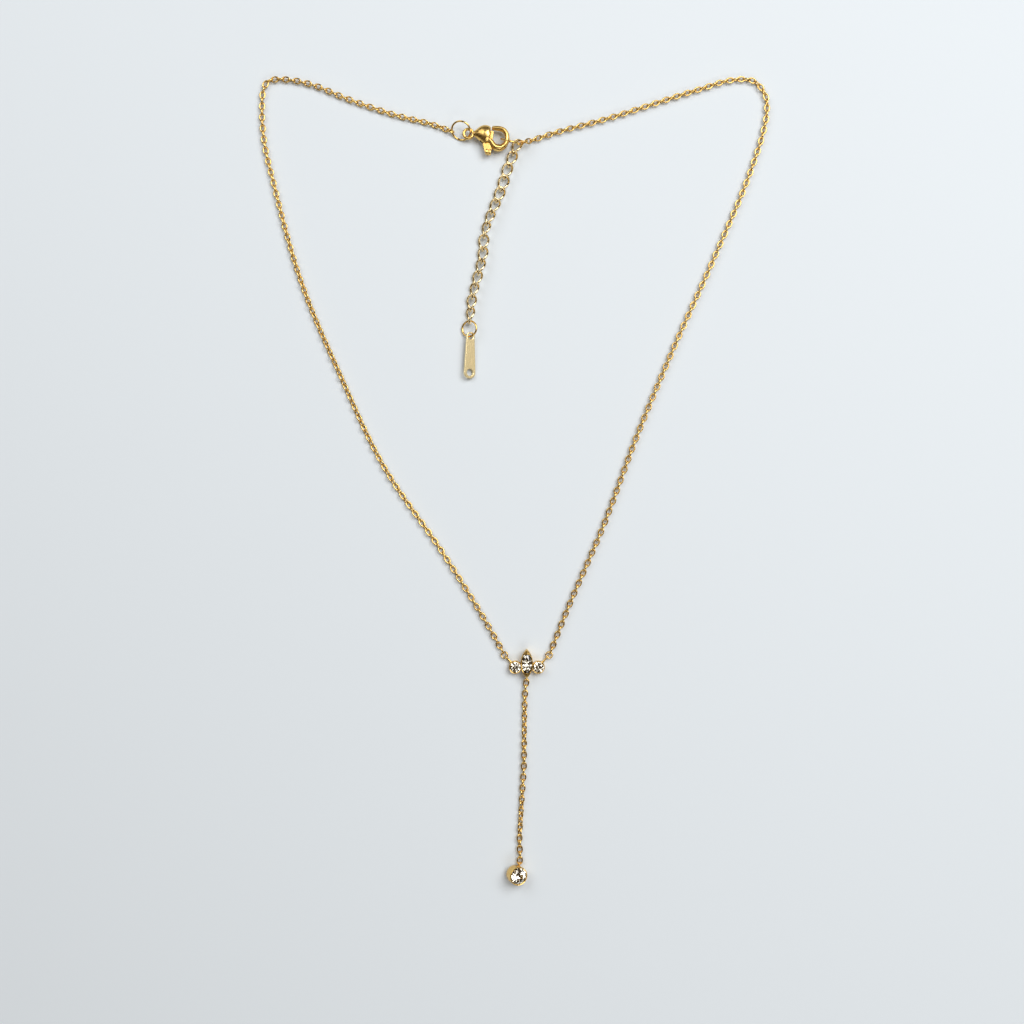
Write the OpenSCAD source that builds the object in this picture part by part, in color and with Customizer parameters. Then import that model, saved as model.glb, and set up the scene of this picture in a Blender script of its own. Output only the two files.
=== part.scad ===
// Y necklace that lies flat on the plane z = 0: a fine cable chain runs from each end of a
// jewelled centrepiece to a lobster clasp, a drop hangs below the centrepiece, and a short
// extender with an end tag hangs from the clasp.

/* [Neck loop] */
// Width of the loop round the neck, along the middle of its chain
neck_w = 110; // [90:1:130]
// Height of the loop, from below the centrepiece's arms to its top
neck_h = 128; // [105:1:150]

/* [Fine chain] */
// Outer length of one link of the fine chain
chain_l = 2; // [1.8:0.1:2.6]
// Outer width of one link of the fine chain
chain_w = 1.4; // [1.2:0.1:2]
// Thickness of the fine chain's wire
chain_wire = 0.34; // [0.24:0.02:0.36]
// Free play between two links of the fine chain
chain_play = 0.1; // [0.08:0.02:0.2]
// Number of links in the drop
drop_links = 33; // [20:1:60]
// Half turns that the drop's chain is twisted by
drop_half_turns = 1; // [0:1:2]

/* [Centrepiece] */
// Length of the pointed oval setting, tip to tip
oval_l = 6.3; // [5:0.1:9]
// Width of the pointed oval setting
oval_w = 2.7; // [2.4:0.1:4]
// Height of the oval stone's girdle above the surface
oval_z = 2; // [1.8:0.1:3]
// Wall of the oval rim
oval_wall = 0.25; // [0.2:0.05:0.4]
// Length of the gold cap over each tip of the oval stone
tip_cap_l = 1.3; // [0.8:0.1:1.8]
// Thickness of each tip cap
tip_cap_t = 0.3; // [0.2:0.05:0.5]
// Diameter of each round side stone
side_d = 2.3; // [1.6:0.1:3]
// Height of the side stones' girdle above the surface
side_z = 1.4; // [1.2:0.1:2]
// Wall of the side stones' rims
side_wall = 0.2; // [0.15:0.05:0.35]
// How far the side stones sit below the oval stone's middle
side_low = 0.85; // [0:0.05:1.5]
// How deep a side rim is soldered into the oval rim
side_sink = 0.12; // [0.1:0.05:0.3]
// Length of the arm from a side rim to its loop
arm_l = 0.95; // [0.8:0.05:2]
// Thickness of the arms
arm_wire = 0.5; // [0.4:0.05:0.7]
// Angle of the arms above the centrepiece's width
arm_turn = 48; // [30:1:60]
// Hole of the soldered loops
loop_hole = 0.7; // [0.66:0.02:1]
// Wire of the soldered loops
loop_wire = 0.3; // [0.2:0.02:0.4]

/* [Drop stone] */
// Diameter of the drop's round stone
drop_d = 3.5; // [2.5:0.1:6]
// Wall of the drop's rim
drop_wall = 0.22; // [0.2:0.02:0.5]
// Depth of the drop's setting
drop_h = 2.5; // [2.2:0.1:4]
// How far the drop's face leans to one side
drop_lean = 22; // [0:1:26]
// Side of the drop on which its loop sits
drop_loop_turn = 62; // [50:1:80]

/* [Cut stones] */
// Width of a stone's table as a share of the stone
table_share = 0.55; // [0.4:0.05:0.7]
// Crown height as a share of the stone's width
crown_share = 0.16; // [0.1:0.01:0.2]
// Depth below the girdle as a share of the stone's width
pavilion_share = 0.42; // [0.3:0.01:0.45]
// Thickness of the girdle
girdle_t = 0.1; // [0.05:0.01:0.15]
// Gap between a stone and its metal
stone_play = 0.04; // [0.02:0.01:0.08]
// Width of the ledge that a stone sits on
ledge = 0.2; // [0.15:0.05:0.3]

/* [Clasp] */
// Length of the clasp's body from the eye's middle to the lever
clasp_body_l = 4.7; // [4:0.1:6]
// Height of the clasp's body in plan
clasp_body_h = 4.1; // [3.4:0.1:5]
// Thickness of the clasp's body
clasp_t = 3; // [2.4:0.1:4]
// Hole of the clasp's eye
eye_hole = 1.35; // [1.2:0.05:2]
// Wire of the clasp's eye
eye_wire = 0.65; // [0.5:0.05:0.9]
// Width of the opening inside the hook
hook_gap_w = 2.6; // [2.2:0.1:4]
// Height of the opening inside the hook
hook_gap_h = 3; // [2.6:0.1:4]
// Width of the hook's band at its end
hook_band = 1.05; // [0.8:0.05:1.4]
// Thickness of the hook at its end
hook_t = 1.6; // [1.2:0.1:1.9]
// Thickness of the lever
lever_t = 0.95; // [0.6:0.05:1.2]
// Width of the lever's gate across the opening
gate_w = 0.68; // [0.5:0.02:0.9]
// How far the thumb nub stands below the pivot
nub_l = 3.3; // [2.8:0.1:4]
// Thickness of the thumb nub
nub_t = 1.5; // [1:0.1:2]
// Radius of the pivot pin
pin_r = 0.3; // [0.2:0.02:0.35]
// Radial running clearance of the lever on its pin
pin_play = 0.05; // [0.02:0.01:0.08]
// Clearance on each side of the lever
lever_play = 0.08; // [0.05:0.01:0.15]

/* [Rings] */
// Outer diameter of the ring in the clasp's eye
clasp_ring_d = 4.6; // [4.4:0.1:5.4]
// Outer diameter of the ring in the clasp's hook
ext_ring_d = 4.6; // [4.2:0.1:6]
// Outer diameter of the ring that holds the tag
tag_ring_d = 3.8; // [3.6:0.1:5]
// Outer diameter of the small rings at the centrepiece
side_ring_d = 1.7; // [1.5:0.05:2.5]
// Wire of the three large rings
ring_wire = 0.4; // [0.3:0.02:0.44]
// Wire of the two small rings
side_ring_wire = 0.3; // [0.2:0.02:0.36]
// Width of the cut in each ring
ring_cut = 0.06; // [0.02:0.01:0.1]

/* [Extender] */
// Outer length of one extender link
ext_l = 4.02; // [3.6:0.06:5]
// Outer width of one extender link
ext_w = 2.8; // [2.6:0.1:3.4]
// Wire of the extender's links
ext_wire = 0.5; // [0.3:0.02:0.52]
// Free play between two extender links
ext_play = 0.26; // [0.2:0.02:0.4]
// Twist of each extender link from end to end
ext_twist = 90; // [70:5:100]

/* [End tag] */
// Length of the tag
tag_l = 10.2; // [7:0.1:14]
// Width of the tag at its ring
tag_top_w = 1.9; // [1.8:0.05:2.4]
// Width of the tag at its free end
tag_end_w = 2.7; // [2.2:0.1:4]
// Thickness of the tag
tag_t = 0.55; // [0.4:0.05:0.6]
// Hole that takes the tag's ring
tag_top_hole = 1.25; // [1.15:0.05:1.4]
// Hole at the tag's free end
tag_end_hole = 1.5; // [1:0.1:1.8]
// How far the tag is rolled about its length
tag_roll = 28; // [25:1:32]

/* [Hidden] */
$fn = 48;
gold = [0.86, 0.69, 0.38];
pale_gold = [0.88, 0.78, 0.52];
crystal = [0.86, 0.9, 0.9];

// Where the pieces lie, in hundredths of the loop's width and height
function on_neck(p) = [p[0] / 100 * neck_w, p[1] / 100 * neck_h];
centre_at = on_neck([2.45, -31.41]);
clasp_at = on_neck([-9.18, 59.18]);
clasp_turn = -7.8;
left_line = [
    [-4.73, -25.78], [-14, -12.89], [-26.27, 2.58], [-34.82, 18.05], [-42.36, 33.52],
    [-47.91, 50.39], [-50, 58.44], [-50.36, 63.59], [-50, 67.03], [-49.27, 68.28],
    [-47.73, 68.67], [-44.91, 68.59], [-40.91, 67.89], [-33.73, 65.47], [-24.09, 62.66],
    [-15.45, 60.7]
];
right_line = [
    [10.09, -23.2], [17.82, -7.73], [24.55, 7.73], [32.09, 23.2], [40.18, 38.67], [47.64, 54.14],
    [49.55, 59.3], [50.36, 63.28], [50.18, 65.62], [49.09, 67.34], [47.73, 68.36], [46.09, 68.67],
    [43.09, 68.52], [37.09, 67.03], [19.09, 62.11], [4.55, 58.52]
];
left_route = [for (p = left_line) on_neck(p)];
right_route = [for (p = right_line) on_neck(p)];
// Heading and roll of each extender link, from the clasp down
ext_turns = [
    [-110, 43], [-115, 33], [-108, 28], [-105, 23], [-113, 28], [-112, 38], [-113, 48], [-102, 58],
    [-98, 33], [-89, 38], [-115, 48], [-95, 43], [-114, 53], [-89, 43], [-101, 58]
];
// Heading of the drop's chain at shares of its length
drop_turns = [
    [0, -99], [0.06, -93], [0.1, -91], [0.45, -90.5], [0.5, -93.8], [0.85, -93.3], [0.93, -87], [0.97, -88],
    [1, -96]
];

ext_n = len(ext_turns);
function ext_name(i) = str("extender_link_", i < 9 ? "0" : "", i + 1);

// How far a cutting shape passes the metal that it cuts
over = 1;

// Vectors
function unit(v) = v / norm(v);
function flat(p, z = 0) = [p[0], p[1], z];
function plan(p) = [p[0], p[1]];
function way(a) = [cos(a), sin(a)];
function turned(p, a) = [p[0] * cos(a) - p[1] * sin(a), p[0] * sin(a) + p[1] * cos(a)];
// Point at angle a on a ring of radius r, tilted down by "tilt" towards heading "az"
function ring_point(c, r, az, tilt, a) =
    c + r * (cos(a) * [cos(az) * cos(tilt), sin(az) * cos(tilt), -sin(tilt)]
             + sin(a) * [-sin(az), cos(az), 0]);

// Closed wire that follows a loop of points round a middle
function loop_skin(pts, mid, r, sides) = let (n = len(pts)) [
    for (k = [0:n - 1])
        let (t = unit(pts[(k + 1) % n] - pts[(k + n - 1) % n]), out = pts[k] - mid,
             u = unit(out - t * (out * t)), w = cross(t, u))
        for (j = [0:sides - 1]) pts[k] + r * (cos(360 * j / sides) * u + sin(360 * j / sides) * w)
];
function loop_faces(n, sides) = [
    for (k = [0:n - 1], j = [0:sides - 1], half = [0, 1])
        let (k2 = (k + 1) % n, j2 = (j + 1) % sides)
        half == 0 ? [k * sides + j, k2 * sides + j, k2 * sides + j2]
                  : [k * sides + j, k2 * sides + j2, k * sides + j2]
];
module wire_loop(pts, mid, r, sides) {
    polyhedron(loop_skin(pts, mid, r, sides), loop_faces(len(pts), sides), convexity = 6);
}

// Skin over a row of rings of points, closed at both ends
function skin_faces(n, sides) = concat(
    [for (k = [0:n - 2], j = [0:sides - 1], half = [0, 1])
        let (j2 = (j + 1) % sides)
        half == 0 ? [k * sides + j, (k + 1) * sides + j, (k + 1) * sides + j2]
                  : [k * sides + j, (k + 1) * sides + j2, k * sides + j2]],
    [[for (j = [0:sides - 1]) j]],
    [[for (j = [sides - 1:-1:0]) (n - 1) * sides + j]]
);
module skin(rings) {
    polyhedron([for (r = rings) for (p = r) p], skin_faces(len(rings), len(rings[0])), convexity = 6);
}

// Chain links. An oval loop about c, along d, rolled by "roll" and twisted from end to end
link_points = 12;
link_sides = 6;
function side_of(d) = unit(cross([0, 0, 1], d));
function link_path(c, d, a, b, roll, twist, n) = let (s = side_of(d), u = cross(d, s)) [
    for (k = [0:n - 1])
        let (x = cos(360 * k / n), r = roll + twist * x / 2, y = b * sin(360 * k / n))
        c + a * x * d + y * (cos(r) * s + sin(r) * u)
];
chain_a = (chain_l - chain_wire) / 2;
chain_b = (chain_w - chain_wire) / 2;
chain_pitch = chain_l - 2 * chain_wire - chain_play;
// Height of a fine chain's middle line where its links are rolled by "roll"
function chain_z(roll) = chain_wire / 2 + chain_b * max(abs(sin(roll)), abs(cos(roll)));

// Neck chain. A curve through the route with tangents weighted by the spans beside each point
function span_way(p, k) = unit(p[k + 1] - p[k]);
function span_l(p, k) = norm(p[k + 1] - p[k]);
function tangent(p, k) =
    k == 0 ? span_way(p, 0)
    : k == len(p) - 1 ? span_way(p, k - 1)
    : unit(flat(span_way(p, k - 1) * span_l(p, k) + span_way(p, k) * span_l(p, k - 1)));
function curve(p, k, s) = let (l = span_l(p, k), s2 = s * s, s3 = s2 * s)
    (2 * s3 - 3 * s2 + 1) * p[k] + (s3 - 2 * s2 + s) * l * tangent(p, k)
    + (3 * s2 - 2 * s3) * p[k + 1] + (s3 - s2) * l * tangent(p, k + 1);
rings_per_span = 2;
tube_sides = 8;
function tube_line(p) = concat(
    [for (k = [0:len(p) - 2], i = [0:rings_per_span - 1]) curve(p, k, i / rings_per_span)],
    [p[len(p) - 1]]
);
// The tube narrows at each end, as the round end of its last link does
tube_end = 0.35;
function tube_rings(line, w) = let (n = len(line)) [
    for (k = [0:n - 1])
        let (t = unit(line[min(k + 1, n - 1)] - line[max(k - 1, 0)]), s = side_of(t), u = cross(t, s),
             r = w / 2 / cos(180 / tube_sides) * (k == 0 || k == n - 1 ? tube_end : 1))
        [for (j = [0:tube_sides - 1])
            let (a = 360 * (j + 0.5) / tube_sides) line[k] + r * (cos(a) * s + sin(a) * u)]
];
chain_end_gap = 0.6;
// Route with both ends stopped just short of the rings that hold them
function tied(start, route, end) = let (
        p = [for (q = route) flat(q, chain_w / 2)],
        reach = ring_wire / 2 + chain_end_gap,
        a = start + reach * unit(p[0] - start),
        b = end + reach * unit(p[len(p) - 1] - end))
    concat([flat(a, max(a[2], chain_w / 2))], p, [flat(b, max(b[2], chain_w / 2))]);

// Clasp, in its own frame: x from the eye to the hook, y across, origin at the eye's middle
clasp_z = clasp_t / 2;
eye_r = (eye_hole + eye_wire) / 2;
gate_x = clasp_body_l + lever_play;
hook_mid = [gate_x + gate_w + hook_gap_w / 2, -0.1];
pivot = [clasp_body_l - 0.35, -0.75];
pin_l = clasp_t * 0.8;
slot_t = lever_t + 2 * lever_play;
function on_clasp(p) = clasp_at + turned(p, clasp_turn);
// Body sections: place along the body, middle and height as shares of the body's height,
// and thickness as a share of the clasp's
body_sections = [
    [0.19, 0.04, 0.2, 0.24], [0.28, 0.055, 0.31, 0.36], [0.36, 0.075, 0.45, 0.5],
    [0.47, 0.105, 0.67, 0.7], [0.58, 0.105, 0.84, 0.86], [0.7, 0.085, 0.97, 0.98],
    [0.83, 0.065, 1.03, 1], [0.94, 0.055, 0.98, 0.96], [1, 0.04, 0.9, 0.88]
];
body_sides = 20;
function body_rings() = [
    for (s = body_sections) [
        for (j = [0:body_sides - 1])
            let (a = 360 * j / body_sides)
            [s[0] * clasp_body_l,
             clasp_body_h * (s[1] + s[2] / 2 * cos(a)),
             clasp_z + clasp_t * s[3] / 2 * sin(a)]
    ]
];
// Hook sections: angle round the opening, width and thickness as shares of the band's
hook_sections = [
    [-115, 1.4, 1.3], [-95, 1.5, 1.25], [-75, 1.45, 1.2], [-55, 1.3, 1.15], [-35, 1.12, 1.08],
    [-15, 1.05, 1], [5, 1.05, 1], [25, 1.02, 1], [45, 1.02, 1], [65, 1.05, 0.98], [85, 1.08, 0.95]
];
hook_sides = 12;
// How far past the gate's back the hook's tip ends
tip_over = 0.28;
hook_rx = (hook_gap_w + hook_band) / 2;
hook_ry = (hook_gap_h + 1.15 * hook_band) / 2;
function hook_at(a) = hook_mid + [hook_rx * cos(a), hook_ry * sin(a)];
function hook_ring(p, t, w, h) = let (n = [-t[1], t[0]]) [
    for (j = [0:hook_sides - 1])
        let (a = 360 * j / hook_sides, q = p + n * w / 2 * cos(a)) flat(q, clasp_z + h / 2 * sin(a))
];
hook_tip = [gate_x + tip_over, hook_mid[1] + hook_ry - 0.05];
// The hook's root, from the pivot: where it starts and bends, and its size as shares of the band's
root_start = [-0.15, 0.25];
root_bend = [0.65, -0.25];
root_w = 1.2;
root_t = 1.35;
// The hook's tip: steps back from its end, and width and thickness as shares of the band's
tip_sections = [[1.1, 0.06, 1.04, 0.92], [0.5, 0.03, 0.95, 0.88], [0, 0, 0.78, 0.78], [-0.12, 0, 0.4, 0.45]];
function hook_rings() = let (
        root = hook_at(hook_sections[0][0]),
        near = pivot + root_bend,
        lead = [pivot + root_start, near, (root + near) / 2, root])
    concat(
        [for (k = [0:2]) hook_ring(lead[k], unit(lead[k + 1] - lead[k]), hook_band * root_w, hook_t * root_t)],
        [for (s = hook_sections) hook_ring(hook_at(s[0]),
            unit([-hook_rx * sin(s[0]), hook_ry * cos(s[0])]), hook_band * s[1], hook_t * s[2])],
        [for (s = tip_sections) hook_ring(hook_tip + [s[0], s[1]], [-1, 0], hook_band * s[2], hook_t * s[3])]
    );
// The slot is open below and towards the hook, and leaves room for the lever's whole swing
slot_corners = [[-1.6, -0.2], [-1, 0.75], [1.28, 0.75], [1.28, -nub_l - over], [-2.4, -nub_l - over]];
module lever_slot() {
    translate([0, 0, clasp_z - slot_t / 2]) linear_extrude(slot_t)
        polygon([for (p = slot_corners) pivot + p]);
}
module in_clasp() {
    translate(flat(clasp_at)) rotate([0, 0, clasp_turn]) children();
}
module clasp_body() {
    color(gold) in_clasp() difference() {
        union() {
            skin(body_rings());
            skin(hook_rings());
            translate([0, 0, clasp_z]) rotate_extrude() translate([eye_r, 0]) circle(d = eye_wire);
        }
        lever_slot();
        translate([0, 0, clasp_z]) translate(pivot) cylinder(r = pin_r, h = 2 * clasp_t, center = true);
    }
}
// The lever's outline from its pivot, below the gate, and the boss round its pin
boss_wall = 0.35;
gate_bevel = 0.25;
lever_heel = [[0.85, -1.1], [1.15, -1.9]];
nub_corners = [[1.1, 0.35], [0.8, 0], [0.2, 0], [-0.2, 0.35]];
lever_back = [[-0.95, -1.2], [-0.6, -0.2], [0, 0.3]];
gate_root = 0.6;
// The thumb's rounded grip at the nub's end
grip_r = 0.25;
grip_l = 0.5;
grip_w = 0.4;
grip_at = [0.5, 0.42];
module clasp_lever() {
    nub = pivot - [0, nub_l];
    gate_top = hook_mid[1] + hook_gap_h / 2 - lever_play;
    color(gold) in_clasp() difference() {
        union() {
            translate([0, 0, clasp_z - lever_t / 2]) linear_extrude(lever_t) {
                polygon(concat(
                    [[gate_x, gate_top], [gate_x + gate_w - gate_bevel, gate_top],
                     [gate_x + gate_w, gate_top - gate_bevel], [gate_x + gate_w, pivot[1]]],
                    [for (p = lever_heel) pivot + p], [for (p = nub_corners) nub + p],
                    [for (p = lever_back) pivot + p], [[gate_x, pivot[1] + gate_root]]
                ));
                translate(pivot) circle(r = pin_r + boss_wall);
            }
            translate(flat(nub + grip_at, clasp_z)) hull() {
                for (x = [-1, 1], y = [0, 1], z = [-1, 1])
                    translate([x * grip_w, y * grip_l, z * (nub_t / 2 - grip_r)]) sphere(r = grip_r, $fn = 12);
            }
        }
        translate([0, 0, clasp_z]) translate(pivot)
            cylinder(r = pin_r + pin_play, h = 2 * clasp_t, center = true);
    }
}
module clasp_pin() {
    color(gold) in_clasp() translate([0, 0, clasp_z]) translate(pivot)
        cylinder(r = pin_r, h = pin_l, center = true);
}

// Open rings. "at" is the middle, "lay" the heading it dips to and its dip, "cut_at" where it is cut
module open_ring(at, d, wire, lay, cut_at) {
    r = (d - wire) / 2;
    gap = ring_cut / r * 180 / PI;
    translate(at) rotate([0, lay[1], lay[0]]) rotate([0, 0, cut_at + gap / 2])
        rotate_extrude(angle = 360 - gap) translate([r, 0]) circle(d = wire);
}
function rest_z(d, wire, dip) = wire / 2 + (d - wire) / 2 * sin(dip);

clasp_ring_lay = [-113, 38];
// The point of the ring, by its angle, that lies in the eye, and where in the eye it lies
clasp_ring_in = 80;
clasp_ring_off = [0.25, -0.36];
clasp_ring_r = (clasp_ring_d - ring_wire) / 2;
clasp_ring_z = rest_z(clasp_ring_d, ring_wire, clasp_ring_lay[1]);
clasp_ring_reach = ring_point([0, 0, 0], clasp_ring_r, clasp_ring_lay[0], clasp_ring_lay[1], clasp_ring_in);
clasp_ring_mid = flat(on_clasp(clasp_ring_off) - plan(clasp_ring_reach), clasp_ring_z);
clasp_ring_hold = ring_point(clasp_ring_mid, clasp_ring_r, clasp_ring_lay[0], clasp_ring_lay[1], -62);
module clasp_ring() {
    color(gold) open_ring(clasp_ring_mid, clasp_ring_d, ring_wire, clasp_ring_lay, 180);
}

ext_ring_lay = [77, 74];
ext_ring_r = (ext_ring_d - ring_wire) / 2;
// The ring passes through the hook's opening, beside the middle of its far band
ext_ring_mid = flat(on_clasp([hook_mid[0] + hook_gap_w / 2 - 0.8, -0.35])
                    + ext_ring_r * way(ext_ring_lay[0] - 90),
                    rest_z(ext_ring_d, ring_wire, ext_ring_lay[1]));
ext_ring_hold = ring_point(ext_ring_mid, ext_ring_r, ext_ring_lay[0], ext_ring_lay[1], -114);
ext_hang = ring_point(ext_ring_mid, ext_ring_r, ext_ring_lay[0], ext_ring_lay[1], -52);
module extender_ring() {
    color(gold) open_ring(ext_ring_mid, ext_ring_d, ring_wire, ext_ring_lay, 180);
}

// Extender. Each link's middle follows from the last one's, at the height its roll needs
ext_a = (ext_l - ext_wire) / 2;
ext_b = (ext_w - ext_wire) / 2;
ext_pitch = ext_l - 2 * ext_wire - ext_play;
// Height that a twisted link needs above the surface, by its roll, with a little to spare
function ext_need(roll) = ext_wire / 2 + 0.03
    + max([for (t = [0:10:350]) abs(ext_b * sin(t) * sin(roll + ext_twist / 2 * cos(t)))]);
function ext_z(i) = ext_need(ext_turns[i][1]);
hang_play = 0.1;
ext_first = plan(ext_hang)
    + (ext_a - ext_wire / 2 - ring_wire / 2 - hang_play) * way(ext_turns[0][0]);
function ext_plan(i) = i == 0 ? ext_first
    : ext_plan(i - 1) + ext_pitch / 2 * (way(ext_turns[i - 1][0]) + way(ext_turns[i][0]));
function ext_mid(i) = flat(ext_plan(i), ext_z(i));
function ext_way(i) = unit(ext_mid(min(i + 1, ext_n - 1)) - ext_mid(max(i - 1, 0)));
ext_points = 18;
module extender_link(i) {
    c = ext_mid(i);
    color(pale_gold) wire_loop(
        link_path(c, ext_way(i), ext_a, ext_b, ext_turns[i][1], ext_twist, ext_points),
        c, ext_wire / 2, link_sides);
}

// Tag ring and tag
tag_ring_lay = [180, 24];
tag_ring_side = -90;
tag_ring_r = (tag_ring_d - ring_wire) / 2;
ext_last = ext_mid(ext_n - 1);
tag_ring_play = 0.15;
tag_ring_lift = 0.2;
tag_ring_mid = flat(plan(ext_last)
    + (ext_a - ext_wire / 2 - ring_wire / 2 - tag_ring_play) * way(ext_turns[ext_n - 1][0])
    + tag_ring_r * way(tag_ring_side), tag_ring_lift + rest_z(tag_ring_d, ring_wire, tag_ring_lay[1]));
module tag_ring() {
    color(gold) open_ring(tag_ring_mid, tag_ring_d, ring_wire, tag_ring_lay, 30);
}
tag_arc = 20;
tag_span = tag_l - tag_top_w / 2 - tag_end_w / 2;
tag_z = tag_end_w / 2 * sin(tag_roll) + tag_t / 2 * cos(tag_roll);
// The ring's wire rises to one side, and passes through the tag's hole where it is "tag_step" along
tag_step = 0.25;
tag_turn = -1.5;
tag_top_z = tag_ring_mid[2] + tag_step * sin(tag_ring_lay[1]);
tag_at = flat(plan(tag_ring_mid)
    + [tag_step * cos(tag_ring_lay[1]), -sqrt(tag_ring_r * tag_ring_r - tag_step * tag_step)], tag_top_z);
tag_pitch = asin((tag_top_z - tag_z) / tag_span);
module tag() {
    color(pale_gold) translate(tag_at) rotate([tag_pitch, 0, tag_turn]) rotate([0, tag_roll, 0])
        translate([0, 0, -tag_t / 2]) linear_extrude(tag_t) difference() {
            polygon(concat(
                [for (k = [0:tag_arc]) tag_top_w / 2 * way(180 * k / tag_arc)],
                [for (k = [0:tag_arc]) [0, -tag_span] - tag_end_w / 2 * way(180 * k / tag_arc)]
            ));
            circle(d = tag_top_hole);
            translate([0, -tag_span]) circle(d = tag_end_hole);
        }
}

// Cut stones. An outline of 16 points, a table of 8, and facets between them
gem_n = 16;
function oval_outline(l, w) = let (r = (l * l + w * w) / (4 * w), reach = asin(l / 2 / r)) [
    for (k = [0:gem_n - 1])
        let (s = k < gem_n / 2 ? 1 : -1, h = k % (gem_n / 2), a = reach * (4 * h / gem_n - 1))
        [s * (r * cos(a) - r + w / 2), s * r * sin(a)]
];
function round_outline(d) = [for (k = [0:gem_n - 1]) d / 2 * way(360 * k / gem_n)];
module gem(outline, width) {
    n = gem_n;
    half = n / 2;
    crown = crown_share * width;
    depth = pavilion_share * width;
    points = concat(
        [for (k = [0:half - 1]) flat(outline[2 * k] * table_share, girdle_t / 2 + crown)],
        [for (p = outline) flat(p, girdle_t / 2)],
        [for (p = outline) flat(p, -girdle_t / 2)],
        [[0, 0, -girdle_t / 2 - depth]]
    );
    top = half;
    low = half + n;
    faces = concat(
        [[for (k = [half - 1:-1:0]) k]],
        [for (k = [0:half - 1]) [k, top + (2 * k + 1) % n, top + 2 * k]],
        [for (k = [0:half - 1]) [k, (k + 1) % half, top + 2 * k + 1]],
        [for (k = [0:half - 1]) [(k + 1) % half, top + (2 * k + 2) % n, top + 2 * k + 1]],
        [for (k = [0:n - 1]) [top + k, top + (k + 1) % n, low + (k + 1) % n, low + k]],
        [for (k = [0:n - 1]) [low + k, low + (k + 1) % n, low + n]]
    );
    polyhedron(points, faces);
}

// Centrepiece, in its own frame with the origin under the oval stone
oval_steps = 180;
module oval_shape(inset) {
    l = oval_l;
    w = oval_w;
    r = (l * l + w * w) / (4 * w);
    intersection() {
        translate([r - w / 2, 0]) circle(r = r - inset, $fn = oval_steps);
        translate([w / 2 - r, 0]) circle(r = r - inset, $fn = oval_steps);
    }
}
// Size of the oval left when its rim is inset by "inset"
function oval_in_w(inset) = oval_w - 2 * inset;
function oval_in_l(inset) = let (r = (oval_l * oval_l + oval_w * oval_w) / (4 * oval_w))
    2 * sqrt(pow(r - inset, 2) - pow(r - oval_w / 2, 2));
stone_inset = oval_wall + stone_play;
oval_stone_w = oval_in_w(stone_inset);
oval_stone_l = oval_in_l(stone_inset);
// How far a stone's ledge lies below its girdle, and how far each rim stands above it
seat_drop = girdle_t / 2 + ledge * 2 * pavilion_share + stone_play;
function crown_top(w) = girdle_t / 2 + crown_share * w;
oval_lip = 0.15;
side_lip = 0.1;
oval_rim_z = oval_z + girdle_t / 2 + oval_lip;
cap_z = oval_z + crown_top(oval_stone_w) + stone_play;
side_rim_r = side_d / 2 + stone_play + side_wall;
function oval_edge(y) = let (r = (oval_l * oval_l + oval_w * oval_w) / (4 * oval_w))
    sqrt(r * r - y * y) - r + oval_w / 2;
side_at = [oval_edge(side_low) + side_rim_r - side_sink, -side_low];
loop_r = (loop_hole + loop_wire) / 2;
loop_z = loop_r + loop_wire / 2;
loop_at = side_at + (side_rim_r + arm_l + loop_r) * way(arm_turn);
loop_sink = 0.15;
drop_loop_at = [0, loop_sink - oval_l / 2 - loop_r];
module loop(at, heading) {
    translate(flat(at, loop_z)) rotate([90, 0, heading]) rotate_extrude()
        translate([loop_r, 0]) circle(d = loop_wire);
}
module oval_rim() {
    difference() {
        linear_extrude(cap_z + tip_cap_t) oval_shape(0);
        translate([-oval_w, tip_cap_l - oval_l / 2, oval_rim_z])
            cube([2 * oval_w, oval_l - 2 * tip_cap_l, cap_z + tip_cap_t]);
        translate([0, 0, oval_z - seat_drop]) linear_extrude(cap_z - oval_z + seat_drop) oval_shape(oval_wall);
        translate([0, 0, -over]) linear_extrude(oval_z + over) oval_shape(oval_wall + ledge);
    }
}
module side_rim() {
    translate(side_at) difference() {
        cylinder(r = side_rim_r, h = side_z + girdle_t / 2 + side_lip);
        translate([0, 0, side_z - seat_drop]) cylinder(r = side_rim_r - side_wall, h = side_z);
        translate([0, 0, -over]) cylinder(r = side_rim_r - side_wall - ledge, h = side_z + over);
    }
}
module arm() {
    translate(flat(side_at, loop_z)) rotate([0, 0, arm_turn]) rotate([0, 90, 0])
        translate([0, 0, side_rim_r - side_wall / 2])
            cylinder(d = arm_wire, h = arm_l + side_wall / 2 + loop_wire / 4);
    loop(loop_at, arm_turn);
}
module in_centre() {
    translate(flat(centre_at)) children();
}
module centre_setting() {
    color(gold) in_centre() {
        difference() {
            union() {
                for (m = [0, 1]) mirror([m, 0, 0]) side_rim();
            }
            translate([0, 0, -over]) linear_extrude(oval_z + over) oval_shape(oval_wall / 2);
        }
        for (m = [0, 1]) mirror([m, 0, 0]) arm();
        oval_rim();
        loop(drop_loop_at, -90);
    }
}
module oval_stone() {
    color(crystal) in_centre() translate([0, 0, oval_z])
        gem(oval_outline(oval_stone_l, oval_stone_w), oval_stone_w);
}
module side_stone(m) {
    color(crystal) in_centre() translate([m * side_at[0], side_at[1], side_z])
        gem(round_outline(side_d), side_d);
}

// Small rings between the centrepiece's loops and the neck chains
side_ring_r = (side_ring_d - side_ring_wire) / 2;
function side_ring_mid(m) = flat(
    centre_at + [m * loop_at[0], loop_at[1]] + side_ring_r * [m * cos(arm_turn), sin(arm_turn)], loop_z);
function side_ring_turn(m) = m > 0 ? arm_turn : 180 - arm_turn;
function side_ring_hold(m) = side_ring_mid(m)
    + flat(side_ring_r * way(side_ring_turn(m) + m * 15), 0);
module side_ring(m) {
    color(gold) open_ring(side_ring_mid(m), side_ring_d, side_ring_wire, [side_ring_turn(m), 6], 90);
}

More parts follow.
